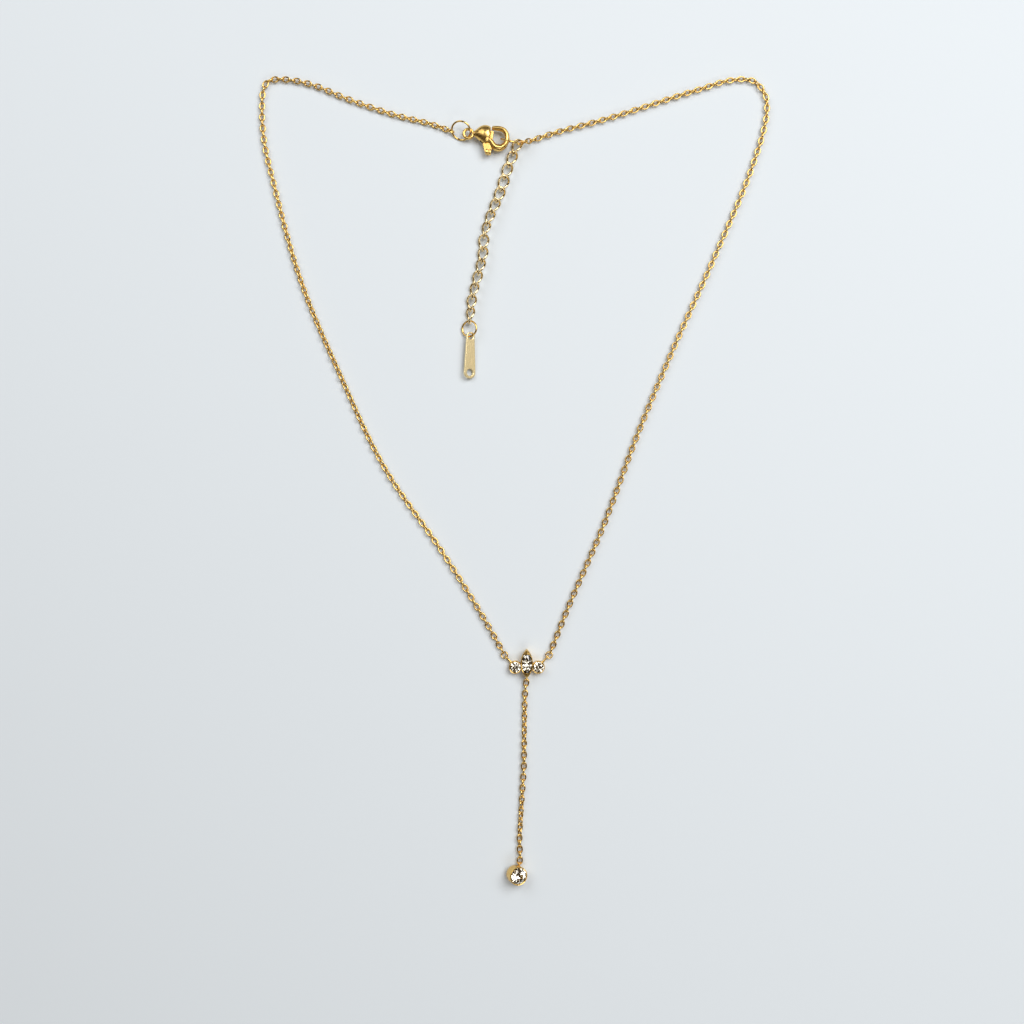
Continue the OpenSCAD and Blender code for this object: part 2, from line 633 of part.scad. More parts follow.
module neck_chain(start, route, end) {
    color(gold) skin(tube_rings(tube_line(tied(start, route, end)), chain_w));
}

// Drop's chain. Each link's place follows from the last one's
drop_start = flat(centre_at + drop_loop_at, loop_z);
end_play = 0.02;
drop_step = 180 * (round((drop_links - 1) / 2) + drop_half_turns) / (drop_links - 1);
function drop_roll(i) = drop_step * i;
function drop_heading(i) = lookup(i / (drop_links - 1), drop_turns);
function drop_plan(i) = i == 0
    ? plan(drop_start) + (chain_a - end_play) * way(drop_heading(0))
    : drop_plan(i - 1) + chain_pitch / 2 * (way(drop_heading(i - 1)) + way(drop_heading(i)));
module drop_chain() {
    color(gold) for (i = [0:drop_links - 1]) {
        c = flat(drop_plan(i), chain_z(drop_roll(i)));
        wire_loop(link_path(c, flat(way(drop_heading(i))), chain_a, chain_b, drop_roll(i), 0, link_points),
                  c, chain_wire / 2, link_sides);
    }
}

// Drop's setting, whose axis leans to one side
drop_r = drop_d / 2 + stone_play + drop_wall;
drop_end = drop_plan(drop_links - 1) + (chain_a - end_play) * way(drop_heading(drop_links - 1));
drop_sink = 0.15;
// The leaning cup's middle at its loop's height, and half way up
drop_foot = drop_end - (drop_r + loop_r - drop_sink) * way(drop_loop_turn);
drop_base_z = (drop_r - drop_h / 2 * tan(drop_lean)) * sin(drop_lean);
drop_half_z = drop_base_z + drop_h / 2 / cos(drop_lean);
drop_mid = drop_foot + [(drop_half_z - loop_z) * tan(drop_lean), 0];
drop_loop_head = (drop_loop_turn + drop_heading(drop_links - 1) + 180) / 2;
drop_lip = 0.25;
drop_girdle = drop_h - drop_lip;
drop_back = 0.3;
module in_drop() {
    translate(flat(drop_mid, drop_base_z)) rotate([0, drop_lean, 0])
        translate([-drop_h / 2 * tan(drop_lean), 0, 0]) children();
}
module drop_setting() {
    color(gold) {
        in_drop() difference() {
            cylinder(r = drop_r, h = drop_h);
            translate([0, 0, drop_girdle - seat_drop])
                cylinder(r = drop_r - drop_wall, h = drop_h);
            translate([0, 0, drop_back]) cylinder(r = drop_r - drop_wall - ledge, h = drop_h);
        }
        loop(drop_end, drop_loop_head);
    }
}
module drop_stone() {
    color(crystal) in_drop() translate([0, 0, drop_girdle]) gem(round_outline(drop_d), drop_d);
}

neck_chain(side_ring_hold(-1), left_route, clasp_ring_hold);  // neck_chain_left
neck_chain(side_ring_hold(1), right_route, ext_ring_hold);  // neck_chain_right
clasp_ring();
clasp_body();
clasp_lever();
clasp_pin();
extender_ring();
for (i = [0:ext_n - 1]) extender_link(i);
tag_ring();
tag();
side_ring(-1);  // side_ring_left
side_ring(1);  // side_ring_right
centre_setting();
oval_stone();
side_stone(-1);  // side_stone_left
side_stone(1);  // side_stone_right
drop_chain();
drop_setting();
drop_stone();
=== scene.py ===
"""Looks of a y necklace lying on a pale sheet: fine links, cut stones, gold finishes, light and camera."""

import logging
from dataclasses import dataclass, field
from enum import Enum
from math import acos, asin, atan2, ceil, cos, degrees, pi, radians, sin, sqrt, tan

import bmesh
import bpy
from mathutils import Matrix, Vector


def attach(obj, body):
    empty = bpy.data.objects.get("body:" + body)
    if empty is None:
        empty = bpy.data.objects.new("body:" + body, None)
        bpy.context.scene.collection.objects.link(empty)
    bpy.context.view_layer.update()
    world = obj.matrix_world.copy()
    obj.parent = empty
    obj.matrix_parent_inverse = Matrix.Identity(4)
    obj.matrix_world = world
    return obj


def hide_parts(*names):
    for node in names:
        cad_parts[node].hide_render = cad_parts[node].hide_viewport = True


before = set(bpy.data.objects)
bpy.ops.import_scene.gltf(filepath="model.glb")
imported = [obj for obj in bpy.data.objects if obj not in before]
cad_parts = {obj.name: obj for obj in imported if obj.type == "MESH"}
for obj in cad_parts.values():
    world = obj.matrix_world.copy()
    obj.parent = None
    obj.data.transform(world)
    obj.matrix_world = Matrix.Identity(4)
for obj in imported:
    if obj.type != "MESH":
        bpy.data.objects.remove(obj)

LOG = logging.getLogger("necklace")
MM = 0.001
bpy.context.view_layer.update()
NECKLACE = "necklace"
LEVER = "lever"
UP = Vector((0, 0, 1))
# Depth of the finest relief on plated metal, in millimetres.
RELIEF_MM = 0.02
# A face whose normal is at least this upright counts as level.
LEVEL = 0.9995
# Points of a plate closer than this, in metres, are one.
WELD = 1e-7


def linear(hex_colour: str) -> tuple[float, float, float, float]:
    """Turns an sRGB hex colour into the linear one that a shader takes.

    Args:
        hex_colour: Six hex digits after a hash, such as "#e6e9ec".

    Returns:
        Linear red, green and blue, and an alpha of one.
    """
    parts = [int(hex_colour[i:i + 2], 16) / 255 for i in (1, 3, 5)]
    return (*(c / 12.92 if c <= 0.04045 else ((c + 0.055) / 1.055) ** 2.4 for c in parts), 1.0)


def add_node(
    tree: bpy.types.NodeTree, kind: str, settings: dict | None = None, links: dict | None = None
) -> bpy.types.Node:
    """Adds a shader node with its settings and links.

    Args:
        tree: The node tree that it goes in.
        kind: Blender's name for the node's type.
        settings: Input values or node options, by name.
        links: The output that feeds each input, by the input's name.

    Returns:
        The new node.
    """
    node = tree.nodes.new(kind)
    for name, value in (settings or {}).items():
        if name in node.inputs:
            node.inputs[name].default_value = value
        else:
            setattr(node, name, value)
    for name, output in (links or {}).items():
        tree.links.new(output, node.inputs[name])
    return node


def blank(name: str) -> tuple[bpy.types.Material, bpy.types.NodeTree, bpy.types.NodeSocket]:
    """Starts a material with an empty tree.

    Args:
        name: The material's name.

    Returns:
        The material, its tree, and the piece's own coordinates for its patterns.
    """
    material = bpy.data.materials.new(name)
    material.use_nodes = True
    tree = material.node_tree
    tree.nodes.clear()
    return material, tree, add_node(tree, "ShaderNodeTexCoord").outputs["Object"]


def plate_metal(
    tree: bpy.types.NodeTree, colours: tuple[str, str], pattern: bpy.types.NodeSocket,
    shine: dict[str, float], relief: bpy.types.NodeSocket, strength: float,
) -> None:
    """Ends a plated metal's tree: two tints and a shine that follow a pattern, over a fine relief.

    Args:
        tree: The material's tree.
        colours: The two tints as sRGB hex.
        pattern: What moves the tint and the shine.
        shine: Range settings that turn the pattern into a roughness.
        relief: The height of the fine relief.
        strength: How strongly the relief shows.
    """
    tint = add_node(tree, "ShaderNodeMix", {"data_type": "RGBA"}, {"Factor": pattern})
    # The Mix node's colour sockets are reached by number: 6 and 7 go in, 2 comes out.
    for socket, colour in zip((tint.inputs[6], tint.inputs[7]), colours):
        socket.default_value = linear(colour)
    polish = add_node(tree, "ShaderNodeMapRange", shine, {"Value": pattern})
    bump = add_node(
        tree, "ShaderNodeBump", {"Strength": strength, "Distance": RELIEF_MM * MM}, {"Height": relief})
    shader = add_node(
        tree, "ShaderNodeBsdfPrincipled", {"Metallic": 1.0},
        {"Base Color": tint.outputs[2], "Roughness": polish.outputs["Result"],
         "Normal": bump.outputs["Normal"]})
    add_node(tree, "ShaderNodeOutputMaterial", None, {"Surface": shader.outputs["BSDF"]})


class Slot(Enum):
    """Material slots of the record that the pieces take their finishes from."""

    GOLD = "gold"
    PALE_GOLD = "pale_gold"
    CRYSTAL = "crystal"


@dataclass(frozen=True)
class GoldPlate:
    """Polished gold plating on brass, tumbled and buffed, with faint wear where links rub.

    The eye gets a warm yellow mirror that turns orange-brown where it reflects the dark,
    with a slightly blurred edge to each highlight.
    """

    name: str = "polished_gold_plate"
    colour: str = "#efd283"
    deep: str = "#dba95a"
    roughness: float = 0.1
    rub_mm: float = 0.9
    grit_mm: float = 0.12
    dent: float = 0.05

    def make(self) -> bpy.types.Material:
        """Builds the plating's shader, with its own grit and rub marks.

        Returns:
            The material.
        """
        material, tree, place = blank(self.name)
        rub = add_node(
            tree, "ShaderNodeTexNoise", {"Scale": 1 / (self.rub_mm * MM), "Detail": 3.0, "Roughness": 0.6},
            {"Vector": place})
        grit = add_node(
            tree, "ShaderNodeTexNoise", {"Scale": 1 / (self.grit_mm * MM), "Detail": 2.0}, {"Vector": place})
        shine = {
            "From Min": 0.3, "From Max": 0.7, "To Min": self.roughness * 0.7, "To Max": self.roughness * 1.5}
        plate_metal(
            tree, (self.colour, self.deep), rub.outputs["Fac"], shine, grit.outputs["Fac"], self.dent)
        return material


@dataclass(frozen=True)
class BrushedGold:
    """Pale gold plating on a stamped tag, brushed along its length.

    The eye gets a soft pale sheen that spreads across the tag, with hair-fine lines down it.
    """

    name: str = "brushed_pale_gold"
    colour: str = "#f6e6b8"
    deep: str = "#e4cc94"
    roughness: float = 0.25
    line_mm: float = 0.09
    stretch: float = 0.03
    groove: float = 0.12

    def make(self) -> bpy.types.Material:
        """Builds the brushed shader. Its lines are drawn coarser than real ones, so that they show.

        Returns:
            The material.
        """
        material, tree, place = blank(self.name)
        along = add_node(tree, "ShaderNodeMapping", {"Scale": (1.0, self.stretch, 1.0)}, {"Vector": place})
        lines = add_node(
            tree, "ShaderNodeTexNoise", {"Scale": 1 / (self.line_mm * MM), "Detail": 2.0},
            {"Vector": along.outputs["Vector"]}).outputs["Fac"]
        shine = {"To Min": self.roughness * 0.7, "To Max": self.roughness * 1.4}
        plate_metal(tree, (self.colour, self.deep), lines, shine, lines, self.groove)
        return material


@dataclass(frozen=True)
class CutZirconia:
    """Clear cubic zirconia, cut and polished flat by flat.

    The eye gets hard white flashes beside dark facets, and a little of the gold behind.
    """

    name: str = "clear_cut_zirconia"
    colour: str = "#f8f2e0"
    ior: float = 2.1
    roughness: float = 0.01
    haze_mm: float = 0.8

    def make(self) -> bpy.types.Material:
        """Builds the stone's shader.

        Returns:
            The material.
        """
        material, tree, place = blank(self.name)
        haze = add_node(tree, "ShaderNodeTexNoise", {"Scale": 1 / (self.haze_mm * MM)}, {"Vector": place})
        polish = add_node(
            tree, "ShaderNodeMapRange", {"To Min": 0.0, "To Max": 2 * self.roughness},
            {"Value": haze.outputs["Fac"]})
        shader = add_node(
            tree, "ShaderNodeBsdfPrincipled",
            {"Base Color": linear(self.colour), "IOR": self.ior, "Transmission Weight": 1.0},
            {"Roughness": polish.outputs["Result"]})
        add_node(tree, "ShaderNodeOutputMaterial", None, {"Surface": shader.outputs["BSDF"]})
        return material


@dataclass(frozen=True)
class PaleSheet:
    """Smooth pale grey-white card, uncoated.

    The eye gets an even cool white that holds soft shadows.
    """

    name: str = "pale_card"
    colour: str = "#dde4e9"
    grain_mm: float = 0.6
    grain_depth_mm: float = 0.05

    def make(self) -> bpy.types.Material:
        """Builds the card's shader, with a faint grain.

        Returns:
            The material.
        """
        material, tree, place = blank(self.name)
        grain = add_node(
            tree, "ShaderNodeTexNoise", {"Scale": 1 / (self.grain_mm * MM), "Detail": 4.0}, {"Vector": place})
        bump = add_node(
            tree, "ShaderNodeBump", {"Strength": 0.04, "Distance": self.grain_depth_mm * MM},
            {"Height": grain.outputs["Fac"]})
        shader = add_node(
            tree, "ShaderNodeBsdfPrincipled",
            {"Base Color": linear(self.colour), "Roughness": 0.85, "Specular IOR Level": 0.2},
            {"Normal": bump.outputs["Normal"]})
        add_node(tree, "ShaderNodeOutputMaterial", None, {"Surface": shader.outputs["BSDF"]})
        return material


def flat(point: Vector, height: float = 0.0) -> Vector:
    """The point with its height set."""
    return Vector((point[0], point[1], height))


def heading(angle: float) -> Vector:
    """The level unit vector at an angle in degrees from +X."""
    return Vector((cos(radians(angle)), sin(radians(angle)), 0.0))


def side_of(way: Vector) -> Vector:
    """The level unit vector to the left of a direction."""
    return UP.cross(way).normalized()


def turns(steps: int) -> list[tuple[float, float]]:
    """Cosine and sine at each of the equal steps of a full turn."""
    return [(cos(2 * pi * k / steps), sin(2 * pi * k / steps)) for k in range(steps)]


def circle(radius: float, at: Vector, steps: int = 32) -> list[Vector]:
    """Points of a circle in plan."""
    return [at + radius * heading(360 * k / steps) for k in range(steps)]


def marquise_arc(length: float, width: float) -> float:
    """Radius of the two arcs that a marquise outline is made of."""
    return (length ** 2 + width ** 2) / (4 * width)


def turned_out(mesh: bpy.types.Mesh, weld: float = 0.0) -> bpy.types.Mesh:
    """Turns a mesh's faces outwards.

    Args:
        mesh: The mesh, which is changed.
        weld: Points closer than this, in metres, become one. Zero leaves all as they are.

    Returns:
        The same mesh.
    """
    work = bmesh.new()
    work.from_mesh(mesh)
    if weld:
        bmesh.ops.remove_doubles(work, verts=work.verts, dist=weld)
    bmesh.ops.recalc_face_normals(work, faces=work.faces)
    work.to_mesh(mesh)
    work.free()
    return mesh


@dataclass
class Skin:
    """Points and faces of one closed mesh, gathered in millimetres."""

    points: list[Vector] = field(default_factory=list)
    faces: list[list[int]] = field(default_factory=list)

    def rings(self, rows: list[list[Vector]], closed: bool) -> "Skin":
        """Adds a skin over rows of points.

        Args:
            rows: Rings of points, each of the same number.
            closed: True where the last row meets the first, False where both ends are capped.

        Returns:
            This skin.
        """
        base, n, m = len(self.points), len(rows), len(rows[0])
        self.points += [p for row in rows for p in row]
        for k in range(n if closed else n - 1):
            near, far = base + k * m, base + (k + 1) % n * m
            for j in range(m):
                j2 = (j + 1) % m
                self.faces.append([near + j, far + j, far + j2, near + j2])
        if not closed:
            self.faces.append([base + j for j in range(m)])
            self.faces.append([base + (n - 1) * m + j for j in reversed(range(m))])
        return self

    def wire(
        self, path: list[Vector], middle: Vector, radius: float, sides: int, closed: bool = True
    ) -> "Skin":
        """Adds round wire along a path that bends round a middle.

        Args:
            path: Points along the wire's middle line.
            middle: The point that the path goes round.
            radius: Half the wire's thickness.
            sides: Points round the wire.
            closed: False where the wire has two ends.

        Returns:
            This skin.
        """
        rows, n = [], len(path)
        for k, p in enumerate(path):
            ahead = path[(k + 1) % n] if closed or k + 1 < n else p
            behind = path[k - 1] if closed or k > 0 else p
            t = (ahead - behind).normalized()
            out = p - middle
            u = (out - t * out.dot(t)).normalized()
            w = t.cross(u)
            rows.append([p + radius * (c * u + s * w) for c, s in turns(sides)])
        return self.rings(rows, closed)

    def lathe(self, profile: list[tuple[float, float]], segments: int, place: Matrix) -> "Skin":
        """Adds a closed profile of (radius, height) turned round its own Z axis.

        Args:
            profile: Points of the closed profile.
            segments: Steps round the axis.
            place: Where the turned solid goes.

        Returns:
            This skin.
        """
        rows = [[place @ Vector((r * c, r * s, z)) for r, z in profile] for c, s in turns(segments)]
        return self.rings(rows, True)

    def mesh(self, name: str) -> bpy.types.Mesh:
        """Makes the mesh in metres, with its faces turned outwards.

        Args:
            name: The mesh's name.

        Returns:
            The new mesh.
        """
        mesh = bpy.data.meshes.new(name)
        mesh.from_pydata([tuple(p * MM) for p in self.points], [], self.faces)
        return turned_out(mesh)

    def soft(self, name: str) -> bpy.types.Mesh:
        """Makes the mesh with all of it shaded smooth.

        Args:
            name: The mesh's name.

        Returns:
            The new mesh.
        """
        mesh = self.mesh(name)
        mesh.shade_smooth()
        return mesh


def smooth(mesh: bpy.types.Mesh, angle: float = 35.0, level_flat: bool = False) -> None:
    """Shades a mesh smooth.

    Args:
        mesh: The mesh.
        angle: Edges sharper than this, in degrees, stay sharp.
        level_flat: True for a plate, whose level faces are shaded flat.
    """
    mesh.shade_smooth()
    mesh.set_sharp_from_angle(angle=radians(angle))
    if level_flat:
        for face in mesh.polygons:
            face.use_smooth = abs(face.normal.z) < LEVEL


def as_object(name: str, data: bpy.types.Mesh | bpy.types.Curve) -> bpy.types.Object:
    """Puts a mesh or a curve in the scene.

    Args:
        name: The object's name.
        data: Its mesh or curve.

    Returns:
        The new object.
    """
    piece = bpy.data.objects.new(name, data)
    bpy.context.scene.collection.objects.link(piece)
    return piece


def baked(piece: bpy.types.Object) -> bpy.types.Mesh:
    """Takes the mesh that an object's modifiers or curve settings give.

    Args:
        piece: The object, which is removed.

    Returns:
        A mesh of its own.
    """
    seen = piece.evaluated_get(bpy.context.evaluated_depsgraph_get())
    mesh = bpy.data.meshes.new_from_object(seen)
    bpy.data.objects.remove(piece)
    return mesh


def fused(meshes: list[bpy.types.Mesh], cutters: list[bpy.types.Mesh] | None = None) -> bpy.types.Mesh:
    """Solders closed meshes into one skin, then cuts others out of it.

    Args:
        meshes: The solids that become one.
        cutters: The solids that are taken away.

    Returns:
        The finished mesh.
    """
    base = as_object("solder_base", meshes[0])
    helpers = []
    for mesh, operation in [(m, "UNION") for m in meshes[1:]] + [(m, "DIFFERENCE") for m in cutters or []]:
        helper = as_object("solder_tool", mesh)
        change = base.modifiers.new("solder", "BOOLEAN")
        change.operation, change.solver, change.object = operation, "EXACT", helper
        helpers.append(helper)
    mesh = baked(base)
    for helper in helpers:
        bpy.data.objects.remove(helper)
    return mesh


def plate(outlines: list[list[Vector]], low: float, high: float, bevel: float) -> bpy.types.Mesh:
    """Cuts a flat plate with rounded edges from outlines in plan.

    Args:
        outlines: The outer edge and the edges of its holes, in millimetres.
        low: Height of its underside.
        high: Height of its top.
        bevel: Radius of its edges.

    Returns:
        The plate's mesh.
    """
    curve = bpy.data.curves.new("plate", "CURVE")
    curve.dimensions, curve.fill_mode = "2D", "BOTH"
    curve.extrude = ((high - low) / 2 - bevel) * MM
    curve.bevel_depth, curve.bevel_resolution, curve.offset = bevel * MM, 3, -bevel * MM
    for outline in outlines:
        line = curve.splines.new("POLY")
        line.points.add(len(outline) - 1)
        for point, place in zip(line.points, outline):
            point.co = (place[0] * MM, place[1] * MM, 0, 1)
        line.use_cyclic_u = True
    mesh = baked(as_object("plate", curve))
    mesh.transform(Matrix.Translation((0, 0, (low + high) / 2 * MM)))
    return turned_out(mesh, WELD)


def rounded(corners: list[Vector], radius: float) -> list[Vector]:
    """Rounds the corners of an outline in plan.

    Args:
        corners: The outline's corners.
        radius: How far from each corner its curve starts, at most a third of the shorter edge.

    Returns:
        The outline with a short curve at each corner.
    """
    out = []
    for k, corner in enumerate(corners):
        back, ahead = corners[k - 1] - corner, corners[(k + 1) % len(corners)] - corner
        reach = min(radius, back.length / 3, ahead.length / 3)
        start, end = corner + back.normalized() * reach, corner + ahead.normalized() * reach
        for t in (0, 0.25, 0.5, 0.75, 1):
            out.append((1 - t) ** 2 * start + 2 * t * (1 - t) * corner + t * t * end)
    return out


def upright_loop(middle: Vector, turn: float, radius: float, wire: float) -> bpy.types.Mesh:
    """Makes a soldered wire loop that stands upright.

    Args:
        middle: The loop's middle, in millimetres.
        turn: The heading that it stands along, in degrees.
        radius: Radius of the wire's middle line.
        wire: The wire's thickness.

    Returns:
        The loop's mesh.
    """
    way = heading(turn)
    path = [middle + radius * (c * way + s * UP) for c, s in turns(32)]
    return Skin().wire(path, middle, wire / 2, 14).mesh("loop")


def dress(
    name: str, mesh: bpy.types.Mesh, finish: bpy.types.Material, node: str, body: str = NECKLACE
) -> None:
    """Puts a finished piece in the scene, on its body and in place of its solids, and reports it.

    Args:
        name: The piece's name.
        mesh: Its final mesh, in metres.
        finish: Its material.
        node: The node whose solids it stands for.
        body: The body that it rides on.
    """
    mesh.materials.clear()
    mesh.materials.append(finish)
    piece = as_object(name, mesh)
    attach(piece, body)
    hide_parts(node)
    LOG.info("%s: %d faces, stands for %s", name, len(mesh.polygons), node)


@dataclass(frozen=True)
class Palette:
    """The materials, each made once."""

    gold: bpy.types.Material
    cast: bpy.types.Material
    pale: bpy.types.Material
    tag_gold: bpy.types.Material
    stone: bpy.types.Material
    sheet: bpy.types.Material


@dataclass
class JumpRing:
    """A round wire ring with a saw cut. It dips towards one heading, by an angle in degrees."""

    node: str
    middle: Vector
    diameter: float
    wire: float
    dips_to: float
    dip: float
    cut_at: float
    cut: float = 0.06
    steps: int = 72
    sides: int = 16

    def point(self, angle: float) -> Vector:
        """Finds a point of the wire's middle line.

        Args:
            angle: Turn from the ring's low side, in degrees.

        Returns:
            The point, in millimetres.
        """
        a, az, dip = radians(angle), radians(self.dips_to), radians(self.dip)
        down = Vector((cos(az) * cos(dip), sin(az) * cos(dip), -sin(dip)))
        across = side_of(heading(self.dips_to))
        return self.middle + (self.diameter - self.wire) / 2 * (cos(a) * down + sin(a) * across)

    def along(self, angle: float) -> Vector:
        """The wire's direction at an angle in degrees."""
        return (self.point(angle + 1) - self.point(angle - 1)).normalized()

    def build(self, palette: Palette) -> None:
        """Makes the open ring.

        Args:
            palette: The materials.
        """
        half = degrees(self.cut / (self.diameter - self.wire))
        turn = 360 - 2 * half
        path = [self.point(self.cut_at + half + turn * k / self.steps) for k in range(self.steps + 1)]
        mesh = Skin().wire(path, self.middle, self.wire / 2, self.sides, closed=False).mesh(self.node)
        smooth(mesh, 50)
        dress(f"{self.node}_wire", mesh, palette.gold, self.node)


@dataclass
class Link:
    """One oval wire link: outer length and width, wire, and twist from end to end in degrees."""

    length: float
    width: float
    wire: float
    twist: float = 0.0
    steps: int = 20
    sides: int = 8

    @property
    def reach(self) -> float:
        """Half the length of the wire's middle line."""
        return (self.length - self.wire) / 2

    @property
    def spread(self) -> float:
        """Half the width of the wire's middle line."""
        return (self.width - self.wire) / 2

    def add(self, skin: Skin, middle: Vector, way: Vector, roll: float) -> None:
        """Adds the link to a skin.

        Args:
            skin: The skin that it joins.
            middle: Where its middle is.
            way: The direction of its length.
            roll: Its turn about that direction, in degrees.
        """
        left = side_of(way)
        up = way.cross(left)
        path = []
        for x, s in turns(self.steps):
            y, turn = self.spread * s, radians(roll + self.twist * x / 2)
            path.append(middle + self.reach * x * way + y * (cos(turn) * left + sin(turn) * up))
        skin.wire(path, middle, self.wire / 2, self.sides)

    def lift(self, roll: float) -> float:
        """Height of an untwisted link's middle where it rests at that roll."""
        r = radians(roll)
        return self.wire / 2 + self.spread * max(abs(sin(r)), abs(cos(r)))


@dataclass
class NeckChain:
    """A fine cable chain along a route, from one ring's wire to another's."""

    node: str
    route: list[tuple[float, float]]
    start: tuple[JumpRing, float]
    end: tuple[JumpRing, float]
    link: Link = field(default_factory=lambda: Link(2.0, 1.4, 0.34))
    pitch: float = 1.22
    line_height: float = 0.7
    line_step: float = 0.25
    hang_play: float = 0.04

    def line(self) -> list[Vector]:
        """Draws the chain's middle line, with level tangents inside the route.

        Returns:
            Close points along the line, in millimetres.
        """
        p = [self.start[0].point(self.start[1])]
        p += [Vector((x, y, self.line_height)) for x, y in self.route]
        p += [self.end[0].point(self.end[1])]
        spans = [(b - a) for a, b in zip(p, p[1:])]
        tangents = [spans[0].normalized()]
        for a, b in zip(spans, spans[1:]):
            tangents.append(flat(a.normalized() * b.length + b.normalized() * a.length).normalized())
        tangents.append(spans[-1].normalized())
        out = []
        for k, span in enumerate(spans):
            steps = ceil(span.length / self.line_step)
            for i in range(steps):
                s = i / steps
                s2, s3 = s * s, s * s * s
                out.append((2 * s3 - 3 * s2 + 1) * p[k] + (s3 - 2 * s2 + s) * span.length * tangents[k]
                           + (3 * s2 - 2 * s3) * p[k + 1] + (s3 - s2) * span.length * tangents[k + 1])
        return out + [p[-1]]

    @staticmethod
    def roll_on(ring: tuple[JumpRing, float], way: Vector) -> float:
        """Finds the roll at which a link hangs square on a ring's wire.

        Args:
            ring: The ring, and the angle at which the link hangs on it.
            way: The direction of the link's length.

        Returns:
            The roll, in degrees.
        """
        across = ring[0].along(ring[1]).cross(way).normalized()
        left = side_of(way)
        return degrees(atan2(across.dot(way.cross(left)), across.dot(left)))

    def build(self, palette: Palette) -> None:
        """Makes every link of the chain, each a quarter turn on from the last.

        Args:
            palette: The materials.
        """
        line = self.line()
        marks = [0.0]
        for a, b in zip(line, line[1:]):
            marks.append(marks[-1] + (b - a).length)
        first = self.link.reach - (self.start[0].wire + self.link.wire) / 2 - self.hang_play
        last = marks[-1] - self.link.reach + (self.end[0].wire + self.link.wire) / 2 + self.hang_play
        count = round((last - first) / self.pitch) + 1
        skin, k, spots = Skin(), 0, []
        for i in range(count):
            at = first + (last - first) * i / (count - 1)
            while k < len(marks) - 2 and marks[k + 1] < at:
                k += 1
            part = (at - marks[k]) / (marks[k + 1] - marks[k])
            near, far = line[max(k - 2, 0)], line[min(k + 3, len(line) - 1)]
            spots.append((line[k].lerp(line[k + 1], part), (far - near).normalized()))
        roll0 = self.roll_on(self.start, spots[0][1])
        roll1 = self.roll_on(self.end, spots[-1][1])
        drift = (roll1 - roll0 - 90 * (count - 1)) % 180
        for i, (spot, way) in enumerate(spots):
            roll = roll0 + 90 * i + drift * i / (count - 1)
            spot = flat(spot, spot.z - self.line_height + self.link.lift(roll))
            self.link.add(skin, spot, way, roll)
        dress(f"{self.node}_links", skin.soft(self.node), palette.gold, self.node)
        LOG.info("%s: %d links on %.1f mm", self.node, count, marks[-1])


@dataclass
class DropChain:
    """The chain from the centrepiece down to the drop stone, link by link as its solid is."""

    start: Vector = field(default_factory=lambda: Vector((2.695, -43.7048, 0.0)))
    links: int = 33
    half_turns: int = 1
    play: float = 0.1
    hang_play: float = 0.02
    # Share of the chain's length, and its heading there in degrees.
    lay: tuple[tuple[float, float], ...] = (
        (0, -99), (0.06, -93), (0.1, -91), (0.45, -90.5), (0.5, -93.8), (0.85, -93.3), (0.93, -87),
        (0.97, -88), (1, -96))
    link: Link = field(default_factory=lambda: Link(2.0, 1.4, 0.34, steps=28, sides=10))

    def heading_at(self, share: float) -> float:
        """Finds the chain's heading.

        Args:
            share: How far along the chain, from 0 to 1.

        Returns:
            The heading, in degrees.
        """
        for (s0, a0), (s1, a1) in zip(self.lay, self.lay[1:]):
            if share <= s1:
                return a0 + (a1 - a0) * (share - s0) / (s1 - s0)
        return self.lay[-1][1]

    def build(self, palette: Palette) -> None:
        """Makes every link of the drop's chain.

        Args:
            palette: The materials.
        """
        skin = Skin()
        step = 180 * (round((self.links - 1) / 2) + self.half_turns) / (self.links - 1)
        pitch = self.link.length - 2 * self.link.wire - self.play
        way = heading(self.heading_at(0))
        spot = self.start + (self.link.reach - self.hang_play) * way
        for i in range(self.links):
            self.link.add(skin, flat(spot, self.link.lift(step * i)), way, step * i)
            ahead = heading(self.heading_at((i + 1) / (self.links - 1)))
            spot = spot + pitch / 2 * (way + ahead)
            way = ahead
        dress("drop_chain_links", skin.soft("drop_chain"), palette.gold, "drop_chain")


